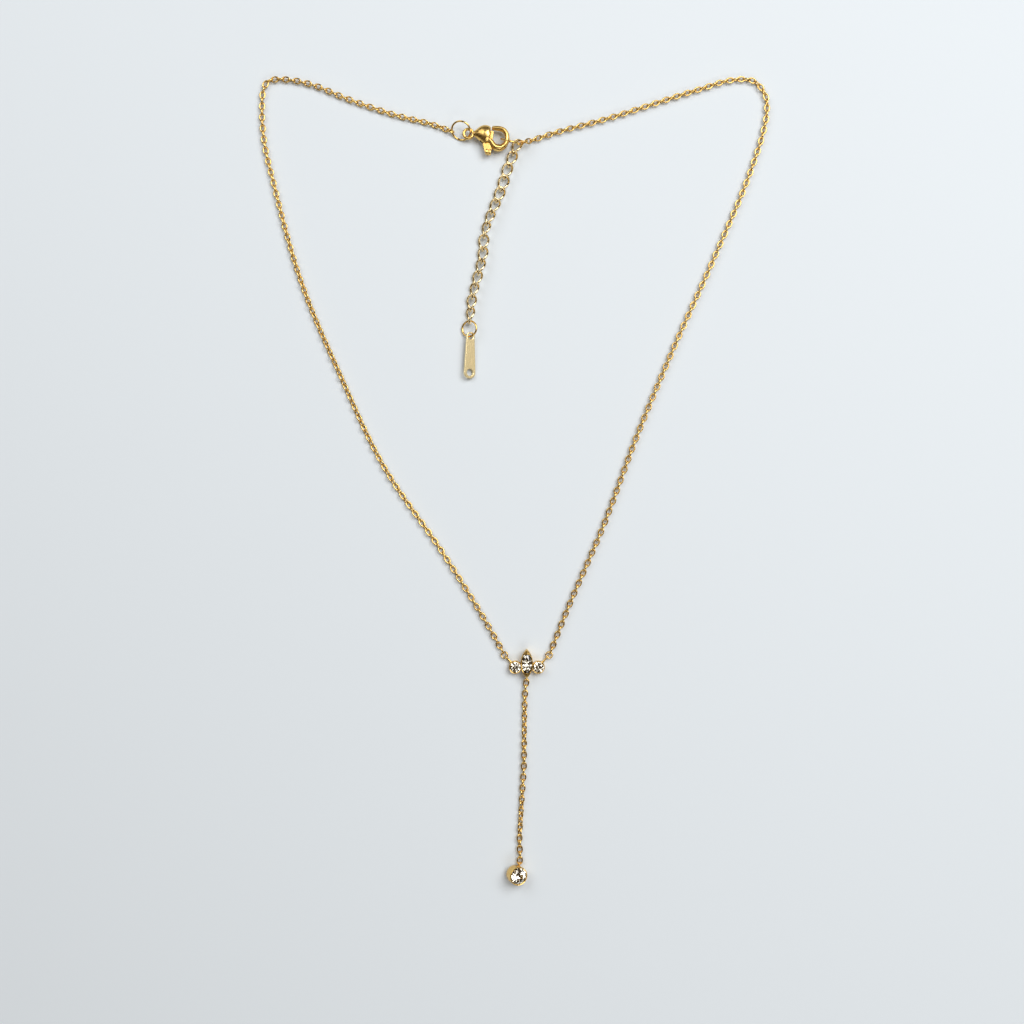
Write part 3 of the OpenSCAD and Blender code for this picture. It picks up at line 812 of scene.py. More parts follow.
@dataclass
class Extender:
    """The row of twisted links that hangs from the clasp, placed link by link as its solids are."""

    hang: Vector = field(default_factory=lambda: Vector((0.7861, 73.9209, 0.0)))
    # Each link's heading and roll in degrees.
    lay: tuple[tuple[float, float], ...] = (
        (-110, 43), (-115, 33), (-108, 28), (-105, 23), (-113, 28), (-112, 38), (-113, 48), (-102, 58),
        (-98, 33), (-89, 38), (-115, 48), (-95, 43), (-114, 53), (-89, 43), (-101, 58))
    play: float = 0.26
    hang_play: float = 0.1
    ring_wire: float = 0.4
    rest_play: float = 0.03
    link: Link = field(default_factory=lambda: Link(4.02, 2.8, 0.5, twist=90, steps=48, sides=14))

    def need(self, roll: float) -> float:
        """Finds how high a link's middle has to be above the surface, as in its solid.

        Args:
            roll: The link's roll, in degrees.

        Returns:
            The height, in millimetres.
        """
        half = self.link.twist / 2
        most = max(
            abs(sin(radians(t)) * sin(radians(roll + half * cos(radians(t))))) for t in range(0, 360, 10))
        return self.link.wire / 2 + self.rest_play + self.link.spread * most

    def build(self, palette: Palette) -> None:
        """Makes each link as its own piece.

        Args:
            palette: The materials.
        """
        pitch = self.link.length - 2 * self.link.wire - self.play
        ways = [heading(a) for a, _ in self.lay]
        first = self.link.reach - (self.link.wire + self.ring_wire) / 2 - self.hang_play
        spot = self.hang + first * ways[0]
        spots = [flat(spot, self.need(self.lay[0][1]))]
        for k in range(1, len(self.lay)):
            spot = spot + pitch / 2 * (ways[k - 1] + ways[k])
            spots.append(flat(spot, self.need(self.lay[k][1])))
        for k, middle in enumerate(spots):
            way = (spots[min(k + 1, len(spots) - 1)] - spots[max(k - 1, 0)]).normalized()
            skin, node = Skin(), f"extender_link_{k + 1:02d}"
            self.link.add(skin, middle, way, self.lay[k][1])
            dress(f"{node}_wire", skin.soft(node), palette.pale, node)


@dataclass
class EndTag:
    """The flat paddle at the extender's end, bare of any mark."""

    at: Vector = field(default_factory=lambda: Vector((-9.6716, 31.4555, 1.1931)))
    pitch: float = 2.296
    turn: float = -1.5
    roll: float = 28.0
    span: float = 7.9
    top_width: float = 1.9
    end_width: float = 2.7
    thickness: float = 0.55
    top_hole: float = 1.25
    end_hole: float = 1.5
    edge: float = 0.1
    steps: int = 24

    def build(self, palette: Palette) -> None:
        """Makes the tag with rounded edges and its two holes.

        Args:
            palette: The materials.
        """
        top, foot = Vector((0, 0, 0)), Vector((0, -self.span, 0))
        half_turn = [heading(180 * k / self.steps) for k in range(self.steps + 1)]
        outline = [self.top_width / 2 * way for way in half_turn]
        outline += [foot - self.end_width / 2 * way for way in half_turn]
        mesh = plate(
            [outline, circle(self.top_hole / 2, top), circle(self.end_hole / 2, foot)],
            -self.thickness / 2, self.thickness / 2, self.edge)
        smooth(mesh, 40, level_flat=True)
        place = Matrix.Translation(self.at * MM)
        for angle, axis in ((self.turn, "Z"), (self.pitch, "X"), (self.roll, "Y")):
            place = place @ Matrix.Rotation(radians(angle), 4, axis)
        mesh.transform(place)
        dress("tag_plate", mesh, palette.tag_gold, "tag")


class Cut(Enum):
    """Outlines that a stone is cut to."""

    ROUND = "round"
    MARQUISE = "marquise"


@dataclass
class CutStone:
    """A stone with a table, crown facets, girdle and pavilion facets."""

    node: str
    cut: Cut
    length: float
    width: float
    place: Matrix
    facets: int = 8
    table: float = 0.55
    star: float = 0.82
    tail: float = 0.25
    crown: float = 0.16
    pavilion: float = 0.42
    girdle: float = 0.1

    def edge(self, turn: float, share: float) -> Vector:
        """Finds a point of the outline, drawn in to a share of its size.

        Args:
            turn: Where on the outline, in degrees.
            share: The share, from 0 to 1.

        Returns:
            The point, level with the origin.
        """
        if self.cut is Cut.ROUND:
            return self.width / 2 * share * heading(turn)
        arc = marquise_arc(self.length, self.width)
        reach = degrees(asin(self.length / 2 / arc))
        side = 1 if turn % 360 < 180 else -1
        a = radians(reach * ((turn % 180) / 90 - 1))
        across, along = arc * cos(a) - arc + self.width / 2, arc * sin(a)
        return share * side * Vector((across, along, 0))

    def build(self, palette: Palette) -> None:
        """Makes the stone facet by facet: table, stars, kites, girdle halves and pavilion mains.

        Args:
            palette: The materials.
        """
        n, top, low = self.facets, self.girdle / 2, -self.girdle / 2
        crown, depth, half = self.crown * self.width, self.pavilion * self.width, 180 / n
        around = [360 * k / n for k in range(n)]
        star_high = top + crown * ((1 - self.star * cos(radians(half))) / (1 - self.table))
        tail_low = low - depth * (1 - self.tail * cos(radians(half)))
        points = [flat(self.edge(a, self.table), top + crown) for a in around]
        points += [flat(self.edge(a + half, self.star), star_high) for a in around]
        points += [flat(self.edge(a + half * s, 1.0), z) for z in (top, low) for a in around for s in (0, 1)]
        points += [flat(self.edge(a + half, self.tail), tail_low) for a in around]
        points.append(Vector((0, 0, low - depth)))
        star, rim, base, tail = n, 2 * n, 4 * n, 6 * n
        faces = [list(range(n))]
        for k in range(n):
            k2, j = (k + 1) % n, (k - 1) % n
            faces.append([k, k2, star + k])
            faces.append([k, star + k, rim + 2 * k, star + j])
            faces.append([star + k, rim + 2 * k + 1, rim + 2 * k])
            faces.append([star + k, rim + 2 * k2, rim + 2 * k + 1])
            for i in (2 * k, 2 * k + 1):
                i2 = (i + 1) % (2 * n)
                faces.append([rim + i, rim + i2, base + i2, base + i])
            faces.append([base + 2 * k, base + 2 * k + 1, tail + k])
            faces.append([base + 2 * k + 1, base + 2 * k2, tail + k])
            faces.append([base + 2 * k, tail + k, tail + n, tail + j])
        mesh = Skin([self.place @ p for p in points], faces).mesh(self.node)
        dress(f"{self.node}_cut", mesh, palette.stone, self.node)


@dataclass
class Centrepiece:
    """The soldered setting: marquise rim with a folded cap on each tip, two round rims, arms and loops."""

    at: Vector = field(default_factory=lambda: Vector((2.695, -40.2048, 0.0)))
    length: float = 6.3
    width: float = 2.7
    wall: float = 0.25
    ledge: float = 0.2
    rim_height: float = 2.2
    seat_height: float = 1.75
    cap_low: float = 2.44
    cap_high: float = 2.74
    cap_eave: float = 0.14
    cap_foot: float = 0.12
    cap_length: float = 1.3
    cap_notch: float = 0.35
    cap_fold: float = 0.8
    stone_length: float = 5.47123
    stone_width: float = 2.12
    girdle_height: float = 2.0
    side_at: tuple[float, float] = (2.53615, -0.85)
    side_stone: float = 2.3
    side_radius: float = 1.39
    side_wall: float = 0.2
    side_height: float = 1.55
    side_girdle: float = 1.4
    side_seat: float = 1.142
    side_turn: float = 11.0
    arm_turn: float = 48.0
    # Share of the arm's length, and its radius there.
    arm_taper: tuple[tuple[float, float], ...] = ((0, 0.25), (0.5, 0.235), (0.85, 0.21), (1, 0.17))
    loop_at: tuple[float, float] = (4.4365, 1.2605)
    loop_height: float = 0.65
    loop_radius: float = 0.5
    loop_wire: float = 0.3
    drop_loop_at: tuple[float, float] = (0.0, -3.5)

    def outline(self, inset: float, steps: int = 24) -> list[Vector]:
        """Draws the marquise outline, going round from its lower tip.

        Args:
            inset: How far it is drawn in.
            steps: Points on each of its two arcs.

        Returns:
            The outline's points.
        """
        arc = marquise_arc(self.length, self.width)
        reach = acos((arc - self.width / 2) / (arc - inset))
        out = []
        for side in (1, -1):
            for k in range(steps):
                a = reach * (2 * k / steps - 1)
                out.append(Vector((side * ((arc - inset) * cos(a) - arc + self.width / 2),
                                   side * (arc - inset) * sin(a), 0)))
        return out

    def half_width(self, y: float) -> float:
        """Half the marquise's width at a distance from its middle."""
        arc = marquise_arc(self.length, self.width)
        return sqrt(arc * arc - y * y) - arc + self.width / 2

    def turned(self, side: int) -> float:
        """The heading in degrees of the arm on a side, 1 for right and -1 for left."""
        return self.arm_turn if side > 0 else 180 - self.arm_turn

    def raised(self, at: tuple[float, float], side: int = 1) -> Vector:
        """A place in plan at the loops' height, mirrored where the side is -1."""
        return Vector((side * at[0], at[1], self.loop_height))

    def rim(self) -> bpy.types.Mesh:
        """Makes the wall round the marquise stone, with a rounded lip and a ledge.

        Returns:
            The rim's mesh.
        """
        inner, hole, top, seat = self.wall, self.wall + self.ledge, self.rim_height, self.seat_height
        # Inset from the outline, and height: foot, wall, lip, seat, ledge, hole.
        profile = [(0.06, 0.0), (0.0, 0.07), (0.0, top - 0.12), (0.03, top - 0.03), (0.09, top),
                   (inner - 0.05, top - 0.03), (inner, top - 0.12), (inner, seat), (hole, seat - 0.02),
                   (hole, 0.06), (hole - 0.05, 0.0)]
        outlines = [self.outline(d) for d, _ in profile]
        rows = [[flat(outline[k], z) for outline, (_, z) in zip(outlines, profile)]
                for k in range(len(outlines[0]))]
        return Skin().rings(rows, True).mesh("rim")

    def cap(self, end: int) -> bpy.types.Mesh:
        """Makes the folded cap over one tip: a thin roof with a ridge, its front edge drawn back to the tip.

        Args:
            end: 1 for the upper tip, -1 for the lower one.

        Returns:
            The cap's mesh.
        """
        tip, across, along = self.length / 2 - 0.02, 12, 10
        high, low = self.rim_height + self.cap_eave, self.rim_height - self.cap_foot
        rows = []
        for i in range(along + 1):
            top, under = [], []
            for j in range(across + 1):
                u = 2 * j / across - 1
                front = tip - self.cap_length + self.cap_notch * (1 - u * u)
                y = front + (tip - front) * 0.985 * i / along
                ridge = (1 - abs(u)) ** self.cap_fold
                spot = Vector((u * self.half_width(y), y, 0))
                top.append(flat(spot, high + (self.cap_high - high) * ridge))
                under.append(flat(spot, low + (self.cap_low - low) * ridge))
            rows.append(top + under[::-1])
        mesh = Skin().rings(rows, False).mesh("cap")
        if end < 0:
            mesh.transform(Matrix.Rotation(pi, 4, "Z"))
        return mesh

    def side_rim(self, side: int) -> bpy.types.Mesh:
        """Makes the round wall of one side stone, with a rounded lip and a ledge.

        Args:
            side: 1 for the right stone, -1 for the left one.

        Returns:
            The rim's mesh.
        """
        outer, inner, top = self.side_radius, self.side_radius - self.side_wall, self.side_height
        hole, seat = inner - self.ledge, self.side_seat
        # Radius and height: foot, wall, lip, seat, ledge, hole.
        profile = [(outer - 0.06, 0.0), (outer, 0.07), (outer, top - 0.12), (outer - 0.03, top - 0.03),
                   (outer - 0.08, top), (inner + 0.04, top - 0.03), (inner, top - 0.1), (inner, seat),
                   (hole, seat - 0.02), (hole, 0.06), (hole + 0.05, 0.0)]
        place = Matrix.Translation((side * self.side_at[0], self.side_at[1], 0))
        return Skin().lathe(profile, 56, place).mesh("side_rim")

    def arm(self, side: int) -> bpy.types.Mesh:
        """Makes the arm from a side rim to its loop, thinning towards the loop.

        Args:
            side: 1 for the right arm, -1 for the left one.

        Returns:
            The arm's mesh.
        """
        way = heading(self.turned(side))
        start = self.raised(self.side_at, side) + (self.side_radius - 0.1) * way
        end = self.raised(self.loop_at, side) - (self.loop_radius - 0.06) * way
        rows = []
        for share, radius in self.arm_taper:
            spot = start.lerp(end, share)
            rows.append([spot + radius * (c * side_of(way) + s * UP) for c, s in turns(20)])
        return Skin().rings(rows, False).mesh("arm")

    def build(self, palette: Palette) -> None:
        """Makes the setting as one soldered piece, and its three stones.

        Args:
            palette: The materials.
        """
        parts = [self.rim(), self.cap(1), self.cap(-1), self.side_rim(1), self.side_rim(-1)]
        radius, wire = self.loop_radius, self.loop_wire
        for side in (1, -1):
            loop = upright_loop(self.raised(self.loop_at, side), self.turned(side), radius, wire)
            parts += [self.arm(side), loop]
        parts.append(upright_loop(self.raised(self.drop_loop_at), 90, radius, wire))
        mesh = fused(parts)
        mesh.transform(Matrix.Translation(self.at * MM))
        smooth(mesh, 40)
        dress("centre_setting_metal", mesh, palette.cast, "centre_setting")
        CutStone("oval_stone", Cut.MARQUISE, self.stone_length, self.stone_width,
                 Matrix.Translation(self.at + Vector((0, 0, self.girdle_height)))).build(palette)
        for node, side in (("side_stone_left", -1), ("side_stone_right", 1)):
            spot = self.at + Vector((side * self.side_at[0], self.side_at[1], self.side_girdle))
            place = Matrix.Translation(spot) @ Matrix.Rotation(radians(self.side_turn * side), 4, "Z")
            CutStone(node, Cut.ROUND, self.side_stone, self.side_stone, place).build(palette)


@dataclass
class DropStone:
    """The round tube setting at the bottom, leaning to one side, with its loop and stone."""

    middle: Vector = field(default_factory=lambda: Vector((0.4929, -86.3823, 0.5638)))
    loop_at: Vector = field(default_factory=lambda: Vector((1.091, -84.2985, 0.65)))
    lean: float = 22.0
    loop_head: float = 73.0
    radius: float = 2.01
    wall: float = 0.22
    ledge: float = 0.2
    height: float = 2.5
    girdle: float = 2.25
    seat: float = 1.992
    back: float = 0.3
    stone: float = 3.5
    stone_turn: float = 8.0
    loop_radius: float = 0.5
    loop_wire: float = 0.3

    def place(self) -> Matrix:
        """Where the leaning cup goes, in millimetres."""
        lean = radians(self.lean)
        return (Matrix.Translation(self.middle) @ Matrix.Rotation(lean, 4, "Y")
                @ Matrix.Translation((-self.height / 2 * tan(lean), 0, 0)))

    def build(self, palette: Palette) -> None:
        """Makes the cup with its loop, and the stone.

        Args:
            palette: The materials.
        """
        outer, inner, top = self.radius, self.radius - self.wall, self.height
        hole = inner - self.ledge
        # Radius and height: underside, wall, lip, seat, ledge, closed back.
        profile = [(outer - 0.12, 0.0), (outer - 0.03, 0.04), (outer, 0.13), (outer, top - 0.14),
                   (outer - 0.03, top - 0.04), (outer - 0.09, top), (inner + 0.04, top - 0.03),
                   (inner, top - 0.1), (inner, self.seat), (hole, self.seat - 0.02), (hole, self.back)]
        rows = [[self.place() @ Vector((r * c, r * s, z)) for c, s in turns(72)] for r, z in profile]
        cup = Skin().rings(rows, False).mesh("cup")
        mesh = fused([cup, upright_loop(self.loop_at, self.loop_head, self.loop_radius, self.loop_wire)])
        smooth(mesh, 40)
        dress("drop_setting_metal", mesh, palette.cast, "drop_setting")
        turn = Matrix.Rotation(radians(self.stone_turn), 4, "Z")
        CutStone("drop_stone", Cut.ROUND, self.stone, self.stone,
                 self.place() @ Matrix.Translation((0, 0, self.girdle)) @ turn).build(palette)


@dataclass
class Clasp:
    """The lobster clasp: body with eye and hook, sprung lever with a thumb nub, and pivot pin."""

    at: Vector = field(default_factory=lambda: Vector((-10.098, 75.7504, 0.0)))
    turn: float = -7.8
    body_length: float = 4.7
    body_height: float = 4.1
    thickness: float = 3.0
    eye_hole: float = 1.35
    eye_wire: float = 0.65
    gap_width: float = 2.6
    gap_height: float = 3.0
    band: float = 1.05
    hook_thickness: float = 1.6
    root_band: float = 1.2
    root_thickness: float = 1.35
    root_turn: float = -115.0
    lever_thickness: float = 0.95
    lever_play: float = 0.08
    lever_edge: float = 0.12
    gate: float = 0.68
    nub: float = 3.3
    nub_thickness: float = 1.5
    boss_wall: float = 0.35
    pin: float = 0.3
    pin_play: float = 0.05
    pin_length: float = 2.4
    # The body's sections: share of its length, middle, height and thickness as shares.
    sections: tuple[tuple[float, float, float, float], ...] = (
        (0.19, 0.04, 0.2, 0.24), (0.28, 0.055, 0.31, 0.36), (0.36, 0.075, 0.45, 0.5),
        (0.47, 0.105, 0.67, 0.7), (0.58, 0.105, 0.84, 0.86), (0.7, 0.085, 0.97, 0.98),
        (0.83, 0.065, 1.03, 1), (0.94, 0.055, 0.98, 0.96), (1, 0.04, 0.9, 0.88))
    # The hook's sections: angle round the opening, and width and thickness as shares.
    hook: tuple[tuple[float, float, float], ...] = (
        (-115, 1.4, 1.3), (-95, 1.5, 1.25), (-75, 1.45, 1.2), (-55, 1.3, 1.15), (-35, 1.12, 1.08),
        (-15, 1.05, 1), (5, 1.05, 1), (25, 1.02, 1), (45, 1.02, 1), (65, 1.05, 0.98), (85, 1.08, 0.95))
    # The tip's sections: place, and width and thickness as shares.
    tip: tuple[tuple[float, float, float, float], ...] = (
        (1.1, 0.06, 1.04, 0.92), (0.5, 0.03, 0.95, 0.88), (0, 0, 0.78, 0.78), (-0.12, 0, 0.4, 0.45))
    # The thumb's grip, block by block: shift along the clasp, half width, half height, share of thickness.
    grip: tuple[tuple[float, float, float, float], ...] = (
        (-0.35, 0.32, 0.62, 1.0), (0.35, 0.32, 0.62, 1.0), (0.0, 0.55, 0.58, 0.86))

    @property
    def mid(self) -> float:
        """Height of the clasp's middle plane."""
        return self.thickness / 2

    @property
    def pivot(self) -> Vector:
        """The lever's pivot in the clasp's own frame."""
        return Vector((self.body_length - 0.35, -0.75, 0))

    @property
    def gate_x(self) -> float:
        """Where the lever's gate starts, along the clasp."""
        return self.body_length + self.lever_play

    @property
    def gap_middle(self) -> Vector:
        """The middle of the opening inside the hook."""
        return Vector((self.gate_x + self.gate + self.gap_width / 2, -0.1, 0))

    @property
    def radii(self) -> tuple[float, float]:
        """Half the width and half the height of the hook's middle line."""
        return (self.gap_width + self.band) / 2, (self.gap_height + 1.15 * self.band) / 2

    def place(self) -> Matrix:
        """Where the clasp goes, in metres."""
        return Matrix.Translation(self.at * MM) @ Matrix.Rotation(radians(self.turn), 4, "Z")

    @staticmethod
    def finer(rows: list[list[Vector]], times: int) -> list[list[Vector]]:
        """Puts smooth rows between rows of points.

        Args:
            rows: Rows of points, each of the same number.
            times: Steps between one row and the next.

        Returns:
            The rows with the new ones between them.
        """
        out = []
        for k in range(len(rows) - 1):
            a, b, c, d = rows[max(k - 1, 0)], rows[k], rows[k + 1], rows[min(k + 2, len(rows) - 1)]
            for i in range(times):
                t = i / times
                out.append([0.5 * (2 * q + (r - p) * t + (2 * p - 5 * q + 4 * r - s) * t * t
                                   + (3 * q - p - 3 * r + s) * t ** 3) for p, q, r, s in zip(a, b, c, d)])
        return out + [rows[-1]]

    def body(self) -> bpy.types.Mesh:
        """Makes the swelling body between the eye and the hook.

        Returns:
            The body's mesh.
        """
        rows = []
        for x, y, height, thick in self.sections:
            rows.append([Vector((x * self.body_length, self.body_height * (y + height / 2 * c),
                                 self.mid + self.thickness * thick / 2 * s)) for c, s in turns(40)])
        return Skin().rings(self.finer(rows, 4), False).mesh("body")

    def section(self, spot: Vector, way: Vector, wide: float, thick: float) -> list[Vector]:
        """Draws one section of the hook, square to its way.

        Args:
            spot: The section's middle in plan.
            way: The hook's direction there.
            wide: Its width, as a share of the band's.
            thick: Its thickness, as a share of the hook's.

        Returns:
            The section's points.
        """
        across, width, depth = Vector((-way.y, way.x, 0)), self.band * wide, self.hook_thickness * thick
        return [flat(spot + across * width / 2 * c, self.mid + depth / 2 * s) for c, s in turns(24)]

    def on(self, angle: float) -> Vector:
        """The hook's middle line at an angle in degrees."""
        a, (rx, ry) = radians(angle), self.radii
        return self.gap_middle + Vector((rx * cos(a), ry * sin(a), 0))

    def hook_skin(self) -> bpy.types.Mesh:
        """Makes the hook from its root below the pivot, round the opening to its tip.

        Returns:
            The hook's mesh.
        """
        rx, ry = self.radii
        tip = Vector((self.gate_x + 0.28, self.gap_middle.y + ry - 0.05, 0))
        near, root = self.pivot + Vector((0.65, -0.25, 0)), self.on(self.root_turn)
        lead = [self.pivot + Vector((-0.15, 0.25, 0)), near, (root + near) / 2, root]
        rows = [self.section(spot, (ahead - spot).normalized(), self.root_band, self.root_thickness)
                for spot, ahead in zip(lead, lead[1:])]
        for angle, wide, thick in self.hook:
            a = radians(angle)
            rows.append(self.section(
                self.on(angle), Vector((-rx * sin(a), ry * cos(a), 0)).normalized(), wide, thick))
        for x, y, wide, thick in self.tip:
            rows.append(self.section(tip + Vector((x, y, 0)), Vector((-1, 0, 0)), wide, thick))
        return Skin().rings(self.finer(rows, 3), False).mesh("hook")

    def slot(self) -> bpy.types.Mesh:
        """Makes the room that the lever swings in.

        Returns:
            The mesh that is cut out of the body.
        """
        half = (self.lever_thickness + 2 * self.lever_play) / 2
        corners = [(-1.6, -0.2), (-1, 0.75), (1.28, 0.75), (1.28, -self.nub - 1), (-2.4, -self.nub - 1)]
        rows = [[self.pivot + Vector((x, y, z)) for x, y in corners]
                for z in (self.mid - half, self.mid + half)]
        return Skin().rings(rows, False).mesh("slot")

    def rod(self, radius: float, half: float, steps: int = 32) -> bpy.types.Mesh:
        """Makes a round rod on the pivot's axis.

        Args:
            radius: The rod's radius.
            half: Half its length.
            steps: Points round it.

        Returns:
            The rod's mesh.
        """
        rows = [[p + Vector((0, 0, self.mid + z)) for p in circle(radius, self.pivot, steps)]
                for z in (-half, half)]
        return Skin().rings(rows, False).mesh("rod")

    def eye(self) -> bpy.types.Mesh:
        """Makes the round eye at the body's end.

        Returns:
            The eye's mesh.
        """
        middle, ring = Vector((0, 0, self.mid)), (self.eye_hole + self.eye_wire) / 2
        return Skin().wire(circle(ring, middle, 48), middle, self.eye_wire / 2, 18).mesh("eye")

    def pad(self, shift: float, half_x: float, half_y: float, half: float) -> bpy.types.Mesh:
        """Makes a rounded block of the thumb's grip.

        Args:
            shift: How far along the clasp it stands from the grip's middle.
            half_x: Half its width along the clasp.
            half_y: Half its height across the clasp.
            half: Half its thickness.

        Returns:
            The block's mesh.
        """
        middle = self.pivot + Vector((0.5 + shift, 0.66 - self.nub, self.mid))
        rows, levels = [], 12
        for k in range(levels + 1):
            a = pi * (k / levels - 0.5) * 0.97
            out, z = cos(a) ** 0.4, half * sin(a)
            rows.append([middle + Vector((half_x * out * (abs(c) ** 0.6) * (1 if c > 0 else -1),
                                          half_y * out * (abs(s) ** 0.6) * (1 if s > 0 else -1), z))
                         for c, s in turns(24)])
        return Skin().rings(rows, False).mesh("block")

    def lever(self) -> bpy.types.Mesh:
        """Makes the lever: gate, pivot boss and a thumb nub with its grip.

        Returns:
            The lever's mesh.
        """
        p, g, nub_y = self.pivot, self.gate_x, self.pivot.y - self.nub
        top = self.gap_middle.y + self.gap_height / 2 - self.lever_play
        # Round the lever from the gate's tip: down its front, round the nub, up to the pivot.
        corners = [(g, top), (g + self.gate * 0.7, top), (g + self.gate, top - 0.25),
                   (g + self.gate, p.y), (p.x + 0.85, p.y - 1.1), (p.x + 1.15, p.y - 1.9),
                   (p.x + 1.1, nub_y + 0.35), (p.x + 0.8, nub_y), (p.x + 0.2, nub_y),
                   (p.x - 0.2, nub_y + 0.35), (p.x - 0.95, p.y - 1.2), (p.x - 0.6, p.y - 0.2),
                   (p.x, p.y + 0.3), (g, p.y + 0.6)]
        half, thick = self.lever_thickness / 2, self.nub_thickness / 2
        outline = rounded([Vector((x, y, 0)) for x, y in corners], 0.3)
        blade = plate([outline], self.mid - half, self.mid + half, self.lever_edge)
        boss = self.rod(self.pin + self.boss_wall, half - 0.02)
        blocks = [self.pad(shift, wide, high, thick * share) for shift, wide, high, share in self.grip]
        return fused([blade, boss, *blocks], [self.rod(self.pin + self.pin_play, self.thickness)])

    def build(self, palette: Palette) -> None:
        """Makes the body, the lever and the pin.

        Args:
            palette: The materials.
        """
        body = fused(
            [self.body(), self.hook_skin(), self.eye()], [self.slot(), self.rod(self.pin, self.thickness)])
        pin = self.rod(self.pin, self.pin_length / 2)
        for node, mesh, rider in (
            ("clasp_body", body, NECKLACE), ("clasp_lever", self.lever(), LEVER), ("clasp_pin", pin, NECKLACE)
        ):
            smooth(mesh, 38, level_flat=node != "clasp_body")
            mesh.transform(self.place())
            dress(f"{node}_metal", mesh, palette.cast, node, rider)


@dataclass
class Studio:
    """The pale sheet, the soft lights and the camera straight above."""

    look_at: tuple[float, float] = (-0.55, -7.04)
    distance: float = 290.0
    frame_width: float = 225.28
    sensor: float = 36.0
    sheet_half: float = 2500.0
    sheet_height: float = -0.02
    room_colour: str = "#a08c78"
    room_strength: float = 0.22
    # Each light's name, place and size in millimetres, and watts.
    lights: tuple[tuple[str, tuple[float, float, float], tuple[float, float], float], ...] = (
        ("window", (320, 290, 670), (540, 540), 5.6), ("card", (-330, 320, 470), (420, 420), 1.35),
        ("front", (140, -430, 430), (420, 170), 0.65), ("side", (480, 0, 325), (300, 260), 0.13))

    def sheet(self, palette: Palette) -> None:
        """Lays the sheet under the necklace.

        Args:
            palette: The materials.
        """
        corners = ((-1, -1), (1, -1), (1, 1), (-1, 1))
        half = self.sheet_half
        skin = Skin([Vector((x * half, y * half, self.sheet_height)) for x, y in corners], [[0, 1, 2, 3]])
        floor = as_object("pale_sheet", skin.mesh("pale_sheet"))
        floor.data.materials.append(palette.sheet)

    @staticmethod
    def light(name: str, at: tuple[float, float, float], size: tuple[float, float], watts: float) -> None:
        """Hangs a soft white rectangular light that faces the necklace.

        Args:
            name: The light's name.
            at: Its place in millimetres.
            size: Its width and height in millimetres.
            watts: Its power.
        """
        lamp = bpy.data.lights.new(name, "AREA")
        lamp.shape, lamp.size, lamp.size_y = "RECTANGLE", size[0] * MM, size[1] * MM
        lamp.energy = watts
        hung = bpy.data.objects.new(name, lamp)
        hung.location = Vector(at) * MM
        hung.rotation_euler = (Vector(at) * MM).to_track_quat("Z", "Y").to_euler()
        bpy.context.scene.collection.objects.link(hung)

    def build(self, palette: Palette) -> None:
        """Sets up the sheet, the lights, the room and the camera.

        Args:
            palette: The materials.
        """
        scene = bpy.context.scene
        self.sheet(palette)
        for light in self.lights:
            self.light(*light)
        scene.world = bpy.data.worlds.new("room")
        scene.world.use_nodes = True
        room = scene.world.node_tree.nodes["Background"]
        room.inputs["Color"].default_value = linear(self.room_colour)
        room.inputs["Strength"].default_value = self.room_strength
        scene.view_settings.view_transform = "Standard"
        camera = bpy.data.cameras.new("camera")
        camera.sensor_width = self.sensor
        camera.lens = self.sensor * self.distance / self.frame_width
        camera.clip_start, camera.clip_end = 0.01, 10.0
        view = bpy.data.objects.new("camera", camera)
        view.location = (self.look_at[0] * MM, self.look_at[1] * MM, self.distance * MM)
        scene.collection.objects.link(view)
        scene.camera = view


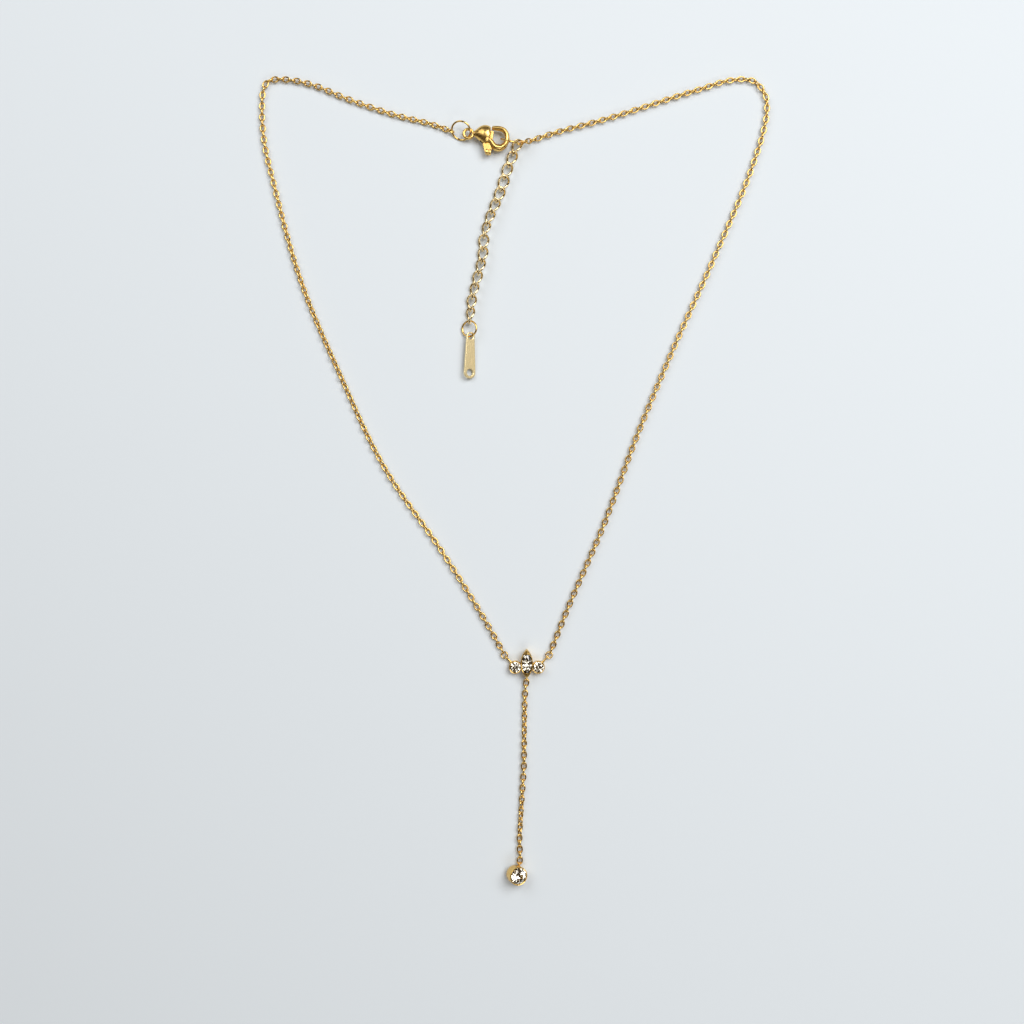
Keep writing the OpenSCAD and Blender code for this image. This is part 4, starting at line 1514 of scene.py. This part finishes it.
def jump_rings() -> dict[str, JumpRing]:
    """Lists the open rings.

    Returns:
        Each ring by its node's name.
    """
    # Middle, diameter, wire, heading of the low side, dip, and where the saw cut is.
    clasp = JumpRing("clasp_ring", Vector((-11.6906, 76.4324, 1.4929)), 4.6, 0.4, -113, 38, 180)
    extender = JumpRing("extender_ring", Vector((-0.9065, 73.9459, 2.2187)), 4.6, 0.4, 77, 74, 180)
    left = JumpRing("side_ring_left", Vector((-2.2099, -38.4241, 0.65)), 1.7, 0.3, 132, 6, 90)
    right = JumpRing("side_ring_right", Vector((7.5999, -38.4241, 0.65)), 1.7, 0.3, 48, 6, 90)
    for small in (left, right):
        small.steps, small.sides = 40, 12
    tag = JumpRing("tag_ring", Vector((-9.9, 33.137, 1.0915)), 3.8, 0.4, 180, 24, 30)
    return {ring.node: ring for ring in (clasp, extender, left, right, tag)}


def neck_chains(rings: dict[str, JumpRing]) -> list[NeckChain]:
    """Lists the two neck chains, each from its side ring up to the clasp.

    Args:
        rings: Each open ring by its node's name.

    Returns:
        The left and the right chain.
    """
    left = [(-5.2, -33), (-15.4, -16.5), (-28.9, 3.3), (-38.3, 23.1), (-46.6, 42.9), (-52.7, 64.5),
            (-55, 74.8), (-55.4, 81.4), (-55, 85.8), (-54.2, 87.4), (-52.5, 87.9), (-49.4, 87.8),
            (-45, 86.9), (-37.1, 83.8), (-26.5, 80.2), (-17, 77.7)]
    right = [(11.1, -29.7), (19.6, -9.9), (27, 9.9), (35.3, 29.7), (44.2, 49.5), (52.4, 69.3), (54.5, 75.9),
             (55.4, 81), (55.2, 84), (54, 86.2), (52.5, 87.5), (50.7, 87.9), (47.4, 87.7), (40.8, 85.8),
             (21, 79.5), (5, 74.9)]
    return [
        NeckChain("neck_chain_left", left, (rings["side_ring_left"], -15), (rings["clasp_ring"], -62)),
        NeckChain("neck_chain_right", right, (rings["side_ring_right"], 15), (rings["extender_ring"], -114)),
    ]


def main() -> None:
    """Builds each sub-assembly in order, each of which reports its pieces."""
    logging.basicConfig(level=logging.INFO, format="%(name)s %(message)s")
    palette = Palette(
        GoldPlate().make(), GoldPlate("tumbled_gold_plate_on_castings", roughness=0.27).make(),
        GoldPlate("polished_pale_gold_plate", "#f6e4b6", "#e6c890").make(), BrushedGold().make(),
        CutZirconia().make(), PaleSheet().make())
    rings = jump_rings()
    parts = [Studio(), *rings.values(), *neck_chains(rings), Extender(), EndTag(), Clasp(), Centrepiece(),
             DropChain(), DropStone()]
    for part in parts:
        LOG.info("building %s", type(part).__name__)
        part.build(palette)


if __name__ == "__main__":
    main()
